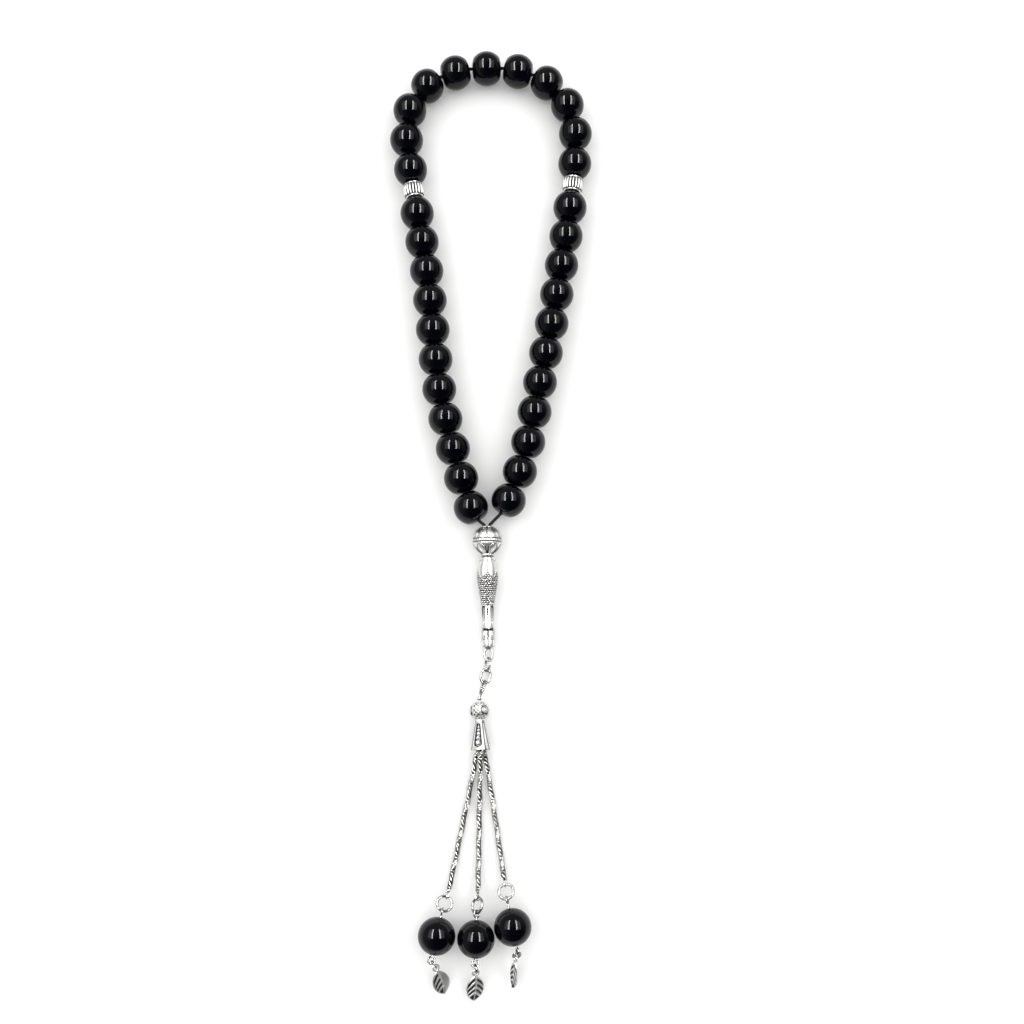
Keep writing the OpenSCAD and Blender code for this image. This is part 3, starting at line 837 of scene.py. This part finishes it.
def scales(x, angle, radius):
    """Irregular reptile scales: rounded bumps in staggered rows that a noise pulls about."""
    row_l, columns = 0.56, 23
    warp = noise.noise_vector(Vector((x * 1.1, 3.4 * math.cos(angle), 3.4 * math.sin(angle))))
    x += 0.34 * warp.x
    angle += 0.15 * warp.y
    row = math.floor(x / row_l)
    u = (x / row_l - row) - 0.5
    around = angle / (2 * math.pi) * columns + (0.5 if row % 2 else 0)
    v = around - math.floor(around) - 0.5
    size = 1 + 0.25 * noise.noise(Vector((row * 1.7, math.floor(around) * 2.3, 0.5)))
    return max(0.0, 1 - (math.hypot(u, v) * 1.9 * size) ** 2.6)


def tower_relief(x, radius, angle):
    degrees = math.degrees(angle)
    out, dark = 0.0, 0.0
    if x < 9.5:
        lobe = abs(math.cos(6 * angle))
        return 0.06 * (lobe - 0.5), 0.55 * (1 - lobe)
    if x < 24.2:
        # Bulb: six smooth panels whose pointed feet run down into the scales
        around = wrapped(degrees - 30, 60)
        mm_edge = radius * math.radians(30 - abs(around))
        foot = 13.6 + 1.7 * (1 - (abs(around) / 30) ** 1.4)
        panel = step(foot - x, -0.15, 0.15)
        line = bump(mm_edge, 0.12) * step(foot + 0.4 - x, 0, 0.6) * step(x, 9.7, 10.0)
        edge = bump(x - foot, 0.13)
        inner = bump(mm_edge - 0.42, 0.08) * panel * step(x, 10.2, 10.6)
        head = bump(x - 10.15 - 0.25 * (abs(around) / 30) ** 2, 0.10)
        out += 0.08 * panel - 0.17 * line - 0.12 * edge - 0.05 * inner - 0.08 * head
        dark += 0.9 * line + 0.75 * edge + 0.3 * inner + 0.45 * head
        # Pointed arcs close the scales above the flutes
        petal = wrapped(degrees, 45)
        end = 23.0 + 0.75 * (1 - abs(petal) / 22.5)
        inside = step(x - foot, 0.05, 0.3) * step(end - x, 0.0, 0.2)
        body = scales(x, angle, radius)
        out += inside * (0.20 * body - 0.08)
        dark += inside * 1.0 * (1 - body) ** 0.7
        rim = bump(x - end - 0.18, 0.16) * step(x, 22, 22.5)
        out += 0.10 * rim
        dark -= 0.4 * rim
    if 22.6 < x < 28.6:
        # Four wide lancet flutes with dark edges, and a short thin slot between each two
        across = radius * math.radians(abs(wrapped(degrees - 45, 90)))
        t = (x - 23.3) / (28.3 - 23.3)
        if 0 < t < 1:
            half_w = 0.66 * math.sin(math.pi * min(1.0, t**0.55)) ** 0.5
            groove = step(half_w - across, -0.05, 0.22)
            edge = bump(half_w - across - 0.05, 0.16) * step(half_w, 0.1, 0.3)
            out -= 0.30 * groove
            dark = max(dark, 0.42 * groove, edge * (1.1 - 0.35 * t), 0.9 * groove * (1 - step(t, 0.06, 0.20)))
        across = radius * math.radians(abs(wrapped(degrees, 90)))
        t = (x - 24.0) / (27.0 - 24.0)
        if 0 < t < 1:
            slot = 1 - step(across, 0.10 + 0.08 * (1 - t), 0.24 + 0.08 * (1 - t))
            out -= 0.22 * slot
            dark = max(dark, slot)
    if 28.0 < x < 29.8:
        around = wrapped(degrees, 60)
        dent = bump(radius * math.radians(abs(around)), 0.10) * bump(x - 28.9, 0.35)
        out -= 0.12 * dent
        dark += 0.8 * dent
        out += 0.05 * math.cos(math.radians(6 * degrees)) * bump(x - 29.4, 0.4)
    # The narrow groove under the barrel is painted dark as shade
    if 29.75 < x < 30.3:
        dark += 1.0
    if 30.3 <= x < 35.2:
        # Barrel: a seam to the front and back, scrolls above and plain oval panels below
        around = wrapped(degrees, 90)
        mm = radius * math.radians(abs(around))
        seam = bump(mm, 0.16)
        side = radius * math.radians(45 - abs(around))
        scroll_x, scroll_y = (x - 31.5) / 0.75, side / 0.62
        ring = math.hypot(scroll_x, scroll_y)
        scroll = bump(ring - 0.95, 0.20) + bump(ring - 0.25, 0.22)
        wobble = 0.5 + 0.5 * math.sin(5.5 * x + 9 * around / 45)
        scroll_zone = step(33.0 - x, 0, 0.3)
        panel = math.hypot((x - 34.0) / 0.95, side / 1.05)
        plain = bump(panel - 1.0, 0.10) * (1 - scroll_zone)
        out += -0.16 * seam + scroll_zone * (0.10 * scroll - 0.04) - 0.10 * plain
        dark += 0.95 * seam + scroll_zone * 0.60 * max(0.0, 1 - scroll) * (0.3 + 0.7 * wobble) + 0.5 * plain
        for line in (30.45, 33.0, 35.0):
            ringed = bump(x - line, 0.07)
            out -= 0.05 * ringed
            dark += 0.5 * ringed
    # The thin neck up to the eye is darkened: painted shade
    if x >= 35.2:
        dark += 0.8
    return out, min(1.0, max(0.0, dark))


def oval(half_l, half_w, wire, place, shape, gap_at=90.0, patina_and_shade=0.0):
    """A link bent from wire, pointed a little at its ends as wire bends."""
    path = []
    steps = 60
    for i in range(steps + 1):
        a = math.radians(gap_at) + 2 * math.pi * (0.004 + 0.992 * i / steps)
        c, s = math.cos(a), math.sin(a)
        straight = half_l - half_w
        path.append(Vector((straight * math.copysign(abs(c) ** 0.75, c) + half_w * c, half_w * s, 0.0)))
    tube(shape, path, lambda i: wire / 2 * (0.88 if i in (0, steps) else 1), 18, place=place, patina_and_shade=patina_and_shade)


EYE_BAR = joint_at("swivel_ring_hinge")


def imam_tower():
    shape = Shape()
    outline = []
    x = TOWER[0][0]
    outline.append((x, 1.05))
    while x < TOWER[-1][0]:
        outline.append((x, smooth_line(TOWER, x)))
        x += 0.07 if x < 24 else 0.06
    outline += [(TOWER[-1][0], 0.62), (TOWER[-1][0], 0.3), (33.2, 0.3), (33.0, 1.2), (11.2, 1.3), (11.0, 1.05)]
    inner = len(outline) - 5

    # Points inside the bore get a flat darkness: painted shade
    def relief(x, radius, angle):
        return tower_relief(x, radius, angle) if radius > 1.31 or x > 34.9 and radius > 0.5 else (0.0, 0.6)

    turned(shape, outline, LEADER_PLACE, 264, relief)
    assert inner > 0
    half_l, half_w = 1.7, 1.15
    middle = (EYE_BAR - MOUTH).length - half_l
    place = LEADER_PLACE @ Matrix.Translation((middle, 0, 0))
    oval(half_l, half_w, EYE_WIRE, place, shape, gap_at=180, patina_and_shade=0.38)
    # The bright ball of solder where the eye meets the barrel
    turned(shape, [(35.35 + 0.3 * (1 - math.cos(a)), 0.2 + 0.62 * math.sin(a)) for a in (0.05, 0.5, 1.0, 1.57, 2.1, 2.6, 3.1)], LEADER_PLACE, 32, closed=False)
    shape.make("imam_tower_chased", "imam_tower", ANTIQUE, ["imam_tower"])


imam_ball()
imam_tower()


# ---- the links -------------------------------------------------------------------------------

SWIVEL_L, SWIVEL_HALF_W = 3.95, 1.3
OVAL_HALF_W = 1.35


def swivel_ring():
    low = joint_at("oval_link_hinge")
    way = (low - EYE_BAR).normalized()
    side = square_to(joint_axis("oval_link_hinge"), way)
    place = placed(low - way * SWIVEL_L / 2, way, side)
    shape = Shape()
    oval(SWIVEL_L / 2, SWIVEL_HALF_W, RING_WIRE, place, shape, gap_at=-90)
    shape.make("swivel_ring_wire", "swivel_ring", WIRE, ["swivel_ring"])


def oval_way():
    return (joint_at("tassel_pin_hinge") - joint_at("oval_link_hinge")).normalized()


def oval_link():
    top = joint_at("oval_link_hinge") - oval_way() * ((RING_WIRE + LINK_WIRE) / 2 + AIR)
    low = joint_at("tassel_pin_hinge")
    side = square_to(joint_axis("tassel_pin_hinge"), oval_way())
    shape = Shape()
    oval((low - top).length / 2, OVAL_HALF_W, LINK_WIRE, placed((top + low) / 2, oval_way(), side), shape, gap_at=78)
    shape.make("oval_link_wire", "oval_link", WIRE, ["oval_link"])


swivel_ring()
oval_link()


# ---- the tassel's pin and cap -----------------------------------------------------------------

CAP_BALL = joint_at("tassel_cap_spin")
CAP_WAY = joint_axis("tassel_cap_spin")
CAP_R, CONE_D, CONE_TOP_D = 2.65, 5.8, 2.6
CAP_PLACE = aimed(CAP_BALL, CAP_WAY)
CONE_START, CONE_WALL = CAP_R + 0.15, 0.4
CONE_END = 11.01
LOOP_X, LOOP_R = 8.6, 0.75
PIN_EYE_L, PIN_EYE_HALF_W, PIN_ROLL, PIN_SHANK = 4.1, 1.15, 72, 0.7


def tassel_pin():
    shape = Shape()
    top = joint_at("tassel_pin_hinge") - oval_way() * ((LINK_WIRE + PIN_WIRE) / 2 + AIR)
    neck = CAP_BALL - CAP_WAY * (CAP_R + 0.75)
    way = (neck - top).normalized()
    place = aimed(top + way * PIN_EYE_L / 2, way, PIN_ROLL)
    oval(PIN_EYE_L / 2, PIN_EYE_HALF_W, PIN_WIRE, place, shape, gap_at=0)
    low = top + way * PIN_EYE_L
    tube(shape, [low - way * 0.1, neck, neck + CAP_WAY * 0.5], PIN_SHANK / 2, 16)
    # The wire's tail wraps the neck
    wrap = []
    for i in range(61):
        a = 4.2 * math.pi * i / 60
        wrap.append((-CAP_R - 0.72 + 0.35 * i / 60, 0.5 * math.sin(a), 0.5 * math.cos(a)))
    tube(shape, wrap, 0.17, 10, place=CAP_PLACE)
    tube(shape, [(-CAP_R - 0.5, 0, 0), (LOOP_X - LOOP_R, 0, 0)], PIN_SHANK / 2, 16, place=CAP_PLACE)
    loop = CAP_PLACE @ Matrix.Translation((LOOP_X, 0, 0)) @ Matrix.Rotation(math.radians(90), 4, "X")
    cut_ring(shape, LOOP_R, PIN_WIRE, loop, gap_at=160)
    shape.make("tassel_pin_wire", "tassel_pin", WIRE, ["tassel_pin"])


BOSS_AT, GRAINS = 38.0, 1.25


def filigree(x, radius, angle):
    """Panels of grains between wires that run from end to end, with a round boss in every other one."""
    # Inside the bore and round its mouths the darkness is painted shade
    if radius < 0.6:
        return 0.0, 0.6
    latitude = math.degrees(math.atan2(x, radius))
    if abs(latitude) > 66:
        return 0.0, 0.3
    off = wrapped(math.degrees(angle) - BOSS_AT, 60)
    has_boss = abs(wrapped(math.degrees(angle) - BOSS_AT, 120)) < 30
    u, v = CAP_R * math.radians(latitude), radius * math.radians(off)
    d = math.hypot(u + 0.1, v)
    grain = 0.5 + 0.5 * math.cos(2 * math.pi * u / GRAINS) * math.cos(2 * math.pi * v / GRAINS)
    out, dark = -0.08 + 0.16 * grain, 1.3 * (1 - grain) ** 2
    if has_boss and d < 1.0:
        out = 0.10 - 0.10 * bump(d - 0.45, 0.18)
        dark = 0.5 * bump(d - 0.45, 0.22)
    if has_boss:
        # A painted shadow falls to one side of each boss
        shadow = step(u, -0.3, 0.6) * step(v, -0.3, 0.6)
        dark = max(dark, 1.1 * bump(d - 1.12, 0.22), 1.1 * shadow * bump(d - 1.35, 0.40))
    wire = bump(radius * math.radians(30 - abs(off)), 0.15)
    out = max(out, -0.07 + 0.17 * wire)
    dark *= 1 - wire
    return out, min(1.0, max(0.0, dark))


WINDOWS = 3
WINDOW_AT = -16.0


def window_place(x, radius, angle):
    """How far inside a teardrop window a point of the cone is, in millimetres; outside is negative."""
    across = radius * math.radians(abs(wrapped(math.degrees(angle) - WINDOW_AT, 360 / WINDOWS)))
    start, end = 3.7, 10.15
    t = (x - start) / (end - start)
    if not 0 < t < 1:
        return -max(start - x, x - end, 0.0) - across
    half = 0.34 + 0.72 * t
    if t > 0.86:
        half *= math.sqrt(max(0.0, 1 - ((t - 0.86) / 0.14) ** 2))
    return half - across


def cone_relief(x, radius, angle):
    outer = CONE_TOP_D / 2 + (CONE_D - CONE_TOP_D) / 2 * (x - CONE_START) / (CONE_END - CONE_START)
    # Inside the cone the darkness is painted shade
    if radius < outer - 0.2:
        return 0.0, 0.7
    d = window_place(x, radius, angle)
    sunk = step(d, 0.0, 0.12)
    rim = bump(d + 0.17, 0.13)
    grains = 0.55 + 0.45 * math.cos(2 * math.pi * x / 0.46)
    out = -0.26 * sunk + 0.12 * rim * (0.45 + 0.55 * grains)
    dark = 0.62 * sunk + 1.1 * rim * (1 - grains) + 1.2 * bump(d - 0.02, 0.19)
    # A milled seam halfway between the windows
    off_seam = wrapped(math.degrees(angle) - WINDOW_AT - 180 / WINDOWS, 360 / WINDOWS)
    for side in (-1, 1):
        seam = bump(radius * math.radians(off_seam - side * 13), 0.24)
        out -= 0.10 * seam
        dark += 1.7 * seam * (1 - 0.6 * grains)
    lip = bump(x - CONE_END + 0.28, 0.22)
    out += 0.05 * lip
    for line in (CONE_START + 0.55, CONE_END - 0.62):
        ringed = bump(x - line, 0.07)
        out -= 0.06 * ringed
        dark += 0.5 * ringed
    return out, min(1.0, dark)


def gem(shape, place, size):
    """A round stone with a flat table and eight facets, held proud of the cone."""
    count = 8
    points = [(0, 0, 0.42 * size)]
    for radius, height, turn in ((0.55, 0.42, 0), (0.98, 0.12, 0.5), (1.0, -0.25, 0.5)):
        for k in range(count):
            a = 2 * math.pi * (k + turn) / count
            points.append((radius * size * math.cos(a), radius * size * math.sin(a), height * size))
    faces = [[0, 1 + k, 1 + (k + 1) % count] for k in range(count)]
    for ring in range(2):
        base, over = 1 + ring * count, 1 + (ring + 1) * count
        for k in range(count):
            faces.append([base + k, over + k, over + (k + 1) % count, base + (k + 1) % count])
    faces.append([1 + 2 * count + k for k in range(count)])
    shape.add(points, faces, None, place)


def tassel_cap():
    shape = Shape()
    bore = 0.5
    outline = [(math.sqrt(CAP_R**2 - bore**2), bore), (-math.sqrt(CAP_R**2 - bore**2), bore)]
    steps = 110
    for i in range(steps + 1):
        a = math.radians(-78 + 156 * i / steps)
        outline.append((CAP_R * math.sin(a), CAP_R * math.cos(a)))
    turned(shape, outline, CAP_PLACE, 220, filigree)
    # A twisted collar at the ball's top and between the ball and the cone
    for x, radius in ((-CAP_R + 0.08, 0.72), (CAP_R - 0.02, 1.15)):
        for start in range(2):
            path = []
            for i in range(120):
                a = 2 * math.pi * i / 120
                twist = 12 * a + math.pi * start
                r = radius + 0.10 * math.cos(twist)
                path.append((x + 0.10 * math.sin(twist), r * math.sin(a), r * math.cos(a)))
            tube(shape, path, 0.12, 8, closed=True, place=CAP_PLACE, patina_and_shade=0.12)
    slope = (CONE_D - CONE_TOP_D) / 2 / (CONE_END - CONE_START)
    cone = [(CONE_START, bore + 0.1), (CONE_START, 1.1)]
    rows = 120
    for i in range(rows + 1):
        x = CONE_START + 0.1 + (CONE_END - 0.06 - CONE_START - 0.1) * i / rows
        cone.append((x, CONE_TOP_D / 2 + slope * (x - CONE_START)))
    inside = [(CONE_END - 0.02, CONE_D / 2 - 0.12), (CONE_END - 0.1, CONE_D / 2 - CONE_WALL)]
    inside += [(CONE_START + 1.3, CONE_TOP_D / 2 + slope * 1.3 - CONE_WALL - 0.1), (CONE_START + 1.2, bore + 0.1)]
    turned(shape, cone + inside, CAP_PLACE, 240, cone_relief)
    shape.make("tassel_cap_filigree", "tassel_cap", ANTIQUE, ["tassel_cap"])
    gems = Shape()
    tilt = math.atan(slope)
    for window in range(WINDOWS):
        a = math.radians(WINDOW_AT + 360 / WINDOWS * window)
        for x, size in ((4.7, 0.36), (5.5, 0.44), (6.5, 0.53), (7.7, 0.64), (9.1, 0.76)):
            r = CONE_TOP_D / 2 + slope * (x - CONE_START) - 0.20
            out = Vector((-math.sin(tilt), math.cos(tilt) * math.sin(a), math.cos(tilt) * math.cos(a)))
            along = square_to(Vector((1, 0, 0)), out)
            point = Vector((x, r * math.sin(a), r * math.cos(a)))
            gem(gems, CAP_PLACE @ placed(point, along, out.cross(along)), size)
    gems.make("tassel_cap_pave", "tassel_cap", CRYSTAL, sharp=10)


tassel_pin()
tassel_cap()


# ---- the chains ------------------------------------------------------------------------------

# The part's own points between the cone's mouth and each chain's end eye, in metres
CHAIN_ROUTES = (
    ((-0.0050, -0.0790, 0.0014), (-0.0075, -0.0910, 0.0010), (-0.0097, -0.1020, 0.0011), (-0.0109, -0.1075, 0.0017)),
    ((-0.0027, -0.0790, 0.0024), (-0.0029, -0.0880, 0.0011), (-0.0030, -0.0990, 0.0011), (-0.0031, -0.1065, 0.0019)),
    ((0.0002, -0.0810, 0.0013), (0.0019, -0.0920, 0.0010), (0.0032, -0.1005, 0.0011), (0.0039, -0.1045, 0.0016)),
)
CHAIN_JOINTS = ("chain_left_splay", "chain_middle_lift", "chain_right_splay")
RING_ROLL = (0, 48, 12)
CLEAR_END, CLEAR_STUB = 0.6, 1.6
END_EYE_R = 0.7
JUMP_R = (4.9 - JUMP_WIRE) / 2


def ring_low(k):
    return joint_at(f"drop_pin_{SIDES[k]}_hinge")


def ring_top(k):
    return joint_at(f"jump_ring_{SIDES[k]}_hinge")


def ring_way(k):
    return (ring_low(k) - ring_top(k)).normalized()


def ring_side(k):
    across = Vector((0, 0, 1)).cross(ring_way(k)).normalized()
    roll = math.radians(RING_ROLL[k])
    return math.cos(roll) * across + math.sin(roll) * ring_way(k).cross(across)


def chain_line(k):
    """The chain's middle line from the cone's mouth to its end eye, as a smooth even path."""
    way = ring_way(k)
    points = [joint_at(CHAIN_JOINTS[k])]
    points += [Vector(p) / MM for p in CHAIN_ROUTES[k]]
    points.append(ring_top(k) - (END_EYE_R + 0.35) * way)
    return softened(even_path(points, 0.2), 8)


def chain(k):
    """A rope chain: wire links through each other, each turned a little further round the line."""
    name = "chain_" + SIDES[k]
    shape = Shape()
    path = chain_line(k)
    wire, link_l, link_w, pitch = 0.34, 2.2, 1.14, 0.76
    turn_each, lean = 34.0, 40.0
    # A black core along the line, inside the links: painted shade that fills the gaps between them
    tube(shape, path, 0.30, 10, patina_and_shade=1.0)
    stride = pitch / 0.2
    up = Vector((0, 0, 1))
    for n in range(1, int((len(path) - 1 - CLEAR_END / 0.2) / stride) + 1):
        i = min(len(path) - 2, int(n * stride))
        p = path[i].lerp(path[i + 1], n * stride - int(n * stride))
        way = (path[min(len(path) - 1, i + 3)] - path[max(0, i - 3)]).normalized()
        side = square_to(up, way)
        jitter = noise.noise(Vector((n * 0.83, k * 7.1, 0.3)))
        roll = math.radians(turn_each * n + 20 * jitter)
        y = math.cos(roll) * side + math.sin(roll) * way.cross(side)
        tilt = math.radians(lean + 9 * jitter)
        place = placed(p, math.cos(tilt) * way + math.sin(tilt) * way.cross(y), y)
        link = []
        for a in steps_round(28):
            link.append((link_l / 2 * math.cos(a), (link_w / 2) * math.sin(a), 0.12 * math.sin(2 * a)))
        first = len(shape.points)
        tube(shape, link, wire / 2, 10, closed=True, place=place)
        # Painted shade: the wire is darkened where it faces in among the other links, and left bright only where it
        # faces outwards
        for m in range(first, len(shape.points)):
            middle = place @ Vector(link[(m - first) // 10])
            away = middle - p
            away -= away.dot(way) * way
            faces_out = (shape.points[m] - middle).dot(away.normalized()) / (wire / 2)
            shape.patina_and_shade[m] = 1 - step(faces_out, 0.05, 0.85)
    normal = ring_way(k).cross(ring_side(k))
    # The jump ring lies against the eye's inside when it swings, so the eye is made with a little air
    eye_wire = 0.84 * THIN_WIRE
    eye = placed(ring_top(k), ring_way(k), normal)
    cut_ring(shape, END_EYE_R + (THIN_WIRE - eye_wire) / 2, eye_wire, eye, gap_at=180)
    lift(shape)
    shape.make(name + "_rope", name, CHAIN, [name])


def lift(shape):
    """Anything lower than the table is pressed up to it."""
    for p in shape.points:
        p.z = max(p.z, 0.02)


def chain_stubs():
    """The chains' first links, which hang on the pin's loop inside the cone."""
    shape = Shape()
    for k in range(3):
        end = joint_at(CHAIN_JOINTS[k]) - CAP_WAY * CLEAR_STUB
        for n in range(3):
            place = aimed(end - CAP_WAY * (0.65 * n), CAP_WAY, 52 * n + 30 * k)
            link = []
            for j in range(24):
                a = 2 * math.pi * j / 24
                link.append((0.85 * math.cos(a), 0.45 * math.sin(a), 0.1 * math.sin(2 * a)))
            # These links sit inside the cone and are darkened: painted shade
            tube(shape, link, 0.18, 8, closed=True, place=place, patina_and_shade=0.5)
    shape.make("tassel_pin_first_links", "tassel_pin", CHAIN)


for side_index in range(3):
    chain(side_index)
chain_stubs()


# ---- the pendants ----------------------------------------------------------------------------

DROP_D = 10.4
TOP_EYE_R, CHARM_R, LEAF_LOOP_R = 0.95, 1.1, 0.85
EYE_GAP = 0.1
CHARM_AZ, CHARM_EL = (-62, -90, -110), (-35, -35, -35)
LEAF_AZ, LEAF_EL = (-74, -94, -97), (-29, -25.5, -23)
LEAF_L, LEAF_W = 8.2, 5.0


def jump_ring(k):
    name = "jump_ring_" + SIDES[k]
    shape = Shape()
    place = placed((ring_top(k) + ring_low(k)) / 2, ring_way(k), ring_side(k))
    cut_ring(shape, JUMP_R, JUMP_WIRE, place, gap_at=(62, -70, 118)[k], skew=0.10)
    shape.make(name + "_wire", name, WIRE, [name])


def drop_bead(k):
    name = "drop_bead_" + SIDES[k]
    joint = name + "_spin"
    shape = Shape()
    outline = stone_outline(DROP_D / 2, DROP_D / 2, DROP_D / 2, 0.5, 64)
    turned(shape, outline, aimed(joint_at(joint), joint_axis(joint)), 96)
    shape.make(name + "_stone", name, ONYX, [name])


def drop_pin(k):
    """A straight wire through the drop, bent into an eye at each end."""
    name = "drop_pin_" + SIDES[k]
    middle, way = joint_at(f"drop_bead_{SIDES[k]}_spin"), joint_axis(f"drop_bead_{SIDES[k]}_spin")
    top_eye = ring_low(k) + (TOP_EYE_R - (JUMP_WIRE + THIN_WIRE) / 2 - AIR) * way
    low_eye = middle + (DROP_D / 2 + EYE_GAP + THIN_WIRE / 2 + TOP_EYE_R) * way
    top_side = square_to(ring_way(k).cross(ring_side(k)), way)
    pull = (joint_at(f"charm_ring_{SIDES[k]}_hinge") - low_eye).normalized()
    normal = pull.cross(joint_axis(f"charm_ring_{SIDES[k]}_hinge")).normalized()
    shape = Shape()
    path = eye_bend(-1, placed(top_eye, way, top_side))
    path += reversed(eye_bend(1, placed(low_eye, way, normal.cross(way))))
    tube(shape, path, lambda i: THIN_WIRE / 2, 14)
    shape.make(name + "_wire", name, WIRE, [name])


def eye_bend(end, place):
    """The wire's round eye from its cut end to where it turns into the straight shank."""
    steps = 30
    found = []
    for i in range(steps + 1):
        t = i / steps
        a = math.radians(-152 + 332 * t) if end < 0 else math.radians(28 + 332 * t)
        a += 0.0
        found.append(Vector((TOP_EYE_R * math.cos(a), TOP_EYE_R * math.sin(a), 0.0)))
    if end < 0:
        found = [Vector((TOP_EYE_R * math.cos(b), TOP_EYE_R * math.sin(b), 0)) for b in bend_angles(28, 332, steps)]
    else:
        found = [Vector((-TOP_EYE_R * math.cos(b), TOP_EYE_R * math.sin(b), 0)) for b in bend_angles(28, 332, steps)]
    found.append(Vector((-end * (TOP_EYE_R + 0.25), 0, 0)))
    return [place @ p for p in found]


def bend_angles(start, sweep, steps):
    return [math.radians(start + sweep * i / steps) for i in range(steps + 1)]


def charm_way(k):
    return direction(CHARM_AZ[k], CHARM_EL[k])


def charm_frame(k):
    """The charm ring's lower contact, its side and its normal."""
    joint = f"charm_ring_{SIDES[k]}_hinge"
    at, axis = joint_at(joint), joint_axis(joint)
    way = charm_way(k)
    middle, pin = joint_at(f"drop_bead_{SIDES[k]}_spin"), joint_axis(f"drop_bead_{SIDES[k]}_spin")
    low_eye = middle + (DROP_D / 2 + EYE_GAP + THIN_WIRE / 2 + TOP_EYE_R) * pin
    pull = (at - low_eye).normalized()
    eye_normal = pull.cross(axis).normalized()
    side = square_to(eye_normal, way)
    top = at - ((THIN_WIRE + CHARM_WIRE) / 2 + AIR) * way
    return top + 2 * CHARM_R * way, side, way.cross(side)


def charm_ring(k):
    name = "charm_ring_" + SIDES[k]
    low, side, _ = charm_frame(k)
    shape = Shape()
    cut_ring(shape, CHARM_R, CHARM_WIRE, placed(low - CHARM_R * charm_way(k), charm_way(k), side), gap_at=75, skew=0.08)
    shape.make(name + "_wire", name, WIRE, [name])


def leaf_height(x, y, half, plain_side):
    """How far the leaf's face stands up at a point, and how dark it is. x runs from 0 to LEAF_L."""
    t = x / LEAF_L
    rib_y = 0.30 * math.sin(math.pi * t) - 0.16 * t
    off = y - rib_y
    inside = half - abs(y)
    rib = bump(off, 0.20 * (1.15 - 0.7 * t))
    margin = bump(inside - 0.12, 0.15)
    vein = 0.0
    for start in (0.2, 1.9, 3.6, 5.3):
        reach = abs(off)
        line = start + 0.62 * reach + 0.17 * reach * reach
        width = 0.31 * (1 - 0.25 * min(1.0, reach / 2.2))
        vein = max(vein, bump((x - line) * 0.80, width))
    vein *= step(inside, 0.02, 0.25)
    height = max(0.28 * rib, 0.24 * vein, 0.13 * margin)
    dark = 0.92 * (1 - 1.15 * max(rib, vein, 0.80 * margin))
    if plain_side and off > 0:
        brushed = 0.5 + 0.5 * math.sin(26 * (x - 0.8 * y) + 3 * noise.noise(Vector((x, y, 0)) * 3))
        flat = step(off, 0.05, 0.3)
        height = height * (1 - flat) + flat * (0.10 + 0.03 * brushed)
        dark = dark * (1 - flat) + flat * (0.16 + 0.22 * brushed)
    return height, min(1.0, max(0.0, dark))


def leaf(k):
    """A cast leaf: raised midrib and side veins over dark hollows, a plain back, and a loop at the stalk."""
    name = "leaf_" + SIDES[k]
    _, _, charm_normal = charm_frame(k)
    way = direction(LEAF_AZ[k], LEAF_EL[k])
    side = square_to(charm_normal, way)
    if way.cross(side).z < 0:
        side = -side
    place = placed(joint_at(name + "_hinge"), way, side)
    shape = Shape()
    cut = place @ Matrix.Translation((LEAF_LOOP_R, 0, 0))
    tube(shape, arc(LEAF_LOOP_R, 0, 360, 40)[:-1], CHARM_WIRE / 2, 14, closed=True, place=cut)
    blade_x = 2 * LEAF_LOOP_R + CHARM_WIRE / 2 - 0.15
    arc_r = (LEAF_L**2 / 4 + LEAF_W**2 / 4) / LEAF_W
    rows, columns = 110, 64
    top, dark, under = [], [], []
    for i in range(rows + 1):
        t = 0.004 + 0.992 * i / rows
        x = LEAF_L * t
        half = math.sqrt(max(0.0, arc_r**2 - (x - LEAF_L / 2) ** 2)) - arc_r + LEAF_W / 2
        half *= 0.985 + 0.015 * math.cos(2 * math.pi * x / 0.9)
        lean = 0.14 * math.sin(math.pi * t)
        for j in range(columns + 1):
            v = 2 * j / columns - 1
            y = half * v
            height, shade = leaf_height(x, y, half, k == 0)
            curl = -0.10 * v * v + 0.10 * math.sin(1.3 * math.pi * t)
            edge = math.sqrt(max(0.0, 1 - v**8))
            top.append((blade_x + x, y + lean, (height - 0.05) * edge + curl))
            dark.append(shade)
            under.append((blade_x + x, y + lean, -0.24 * edge + curl - 0.02))
    count = len(top)
    width = columns + 1
    faces = grid_faces(rows + 1, width, closed_columns=False)
    faces += [[count + n for n in reversed(f)] for f in grid_faces(rows + 1, width, closed_columns=False)]
    rim = [n for n in range(width)] + [i * width + columns for i in range(1, rows + 1)]
    rim += [rows * width + j for j in range(columns - 1, -1, -1)] + [i * width for i in range(rows - 1, 0, -1)]
    faces += [[a, b, count + b, count + a] for a, b in zip(rim, rim[1:] + rim[:1])]
    # The under face is darkened evenly: painted shade
    shape.add(top + under, faces, dark + [0.3] * count, place)
    # The stalk runs from the loop on to the midrib
    tube(shape, [(2 * LEAF_LOOP_R - 0.1, 0, 0), (blade_x + 0.5, 0.05, 0.05), (blade_x + 1.2, 0.12, 0.0)], 0.27, 12, place=place)
    shape.make(name + "_cast", name, ANTIQUE, [name], sharp=60)


for side_index in range(3):
    jump_ring(side_index)
    drop_bead(side_index)
    drop_pin(side_index)
    charm_ring(side_index)
    leaf(side_index)
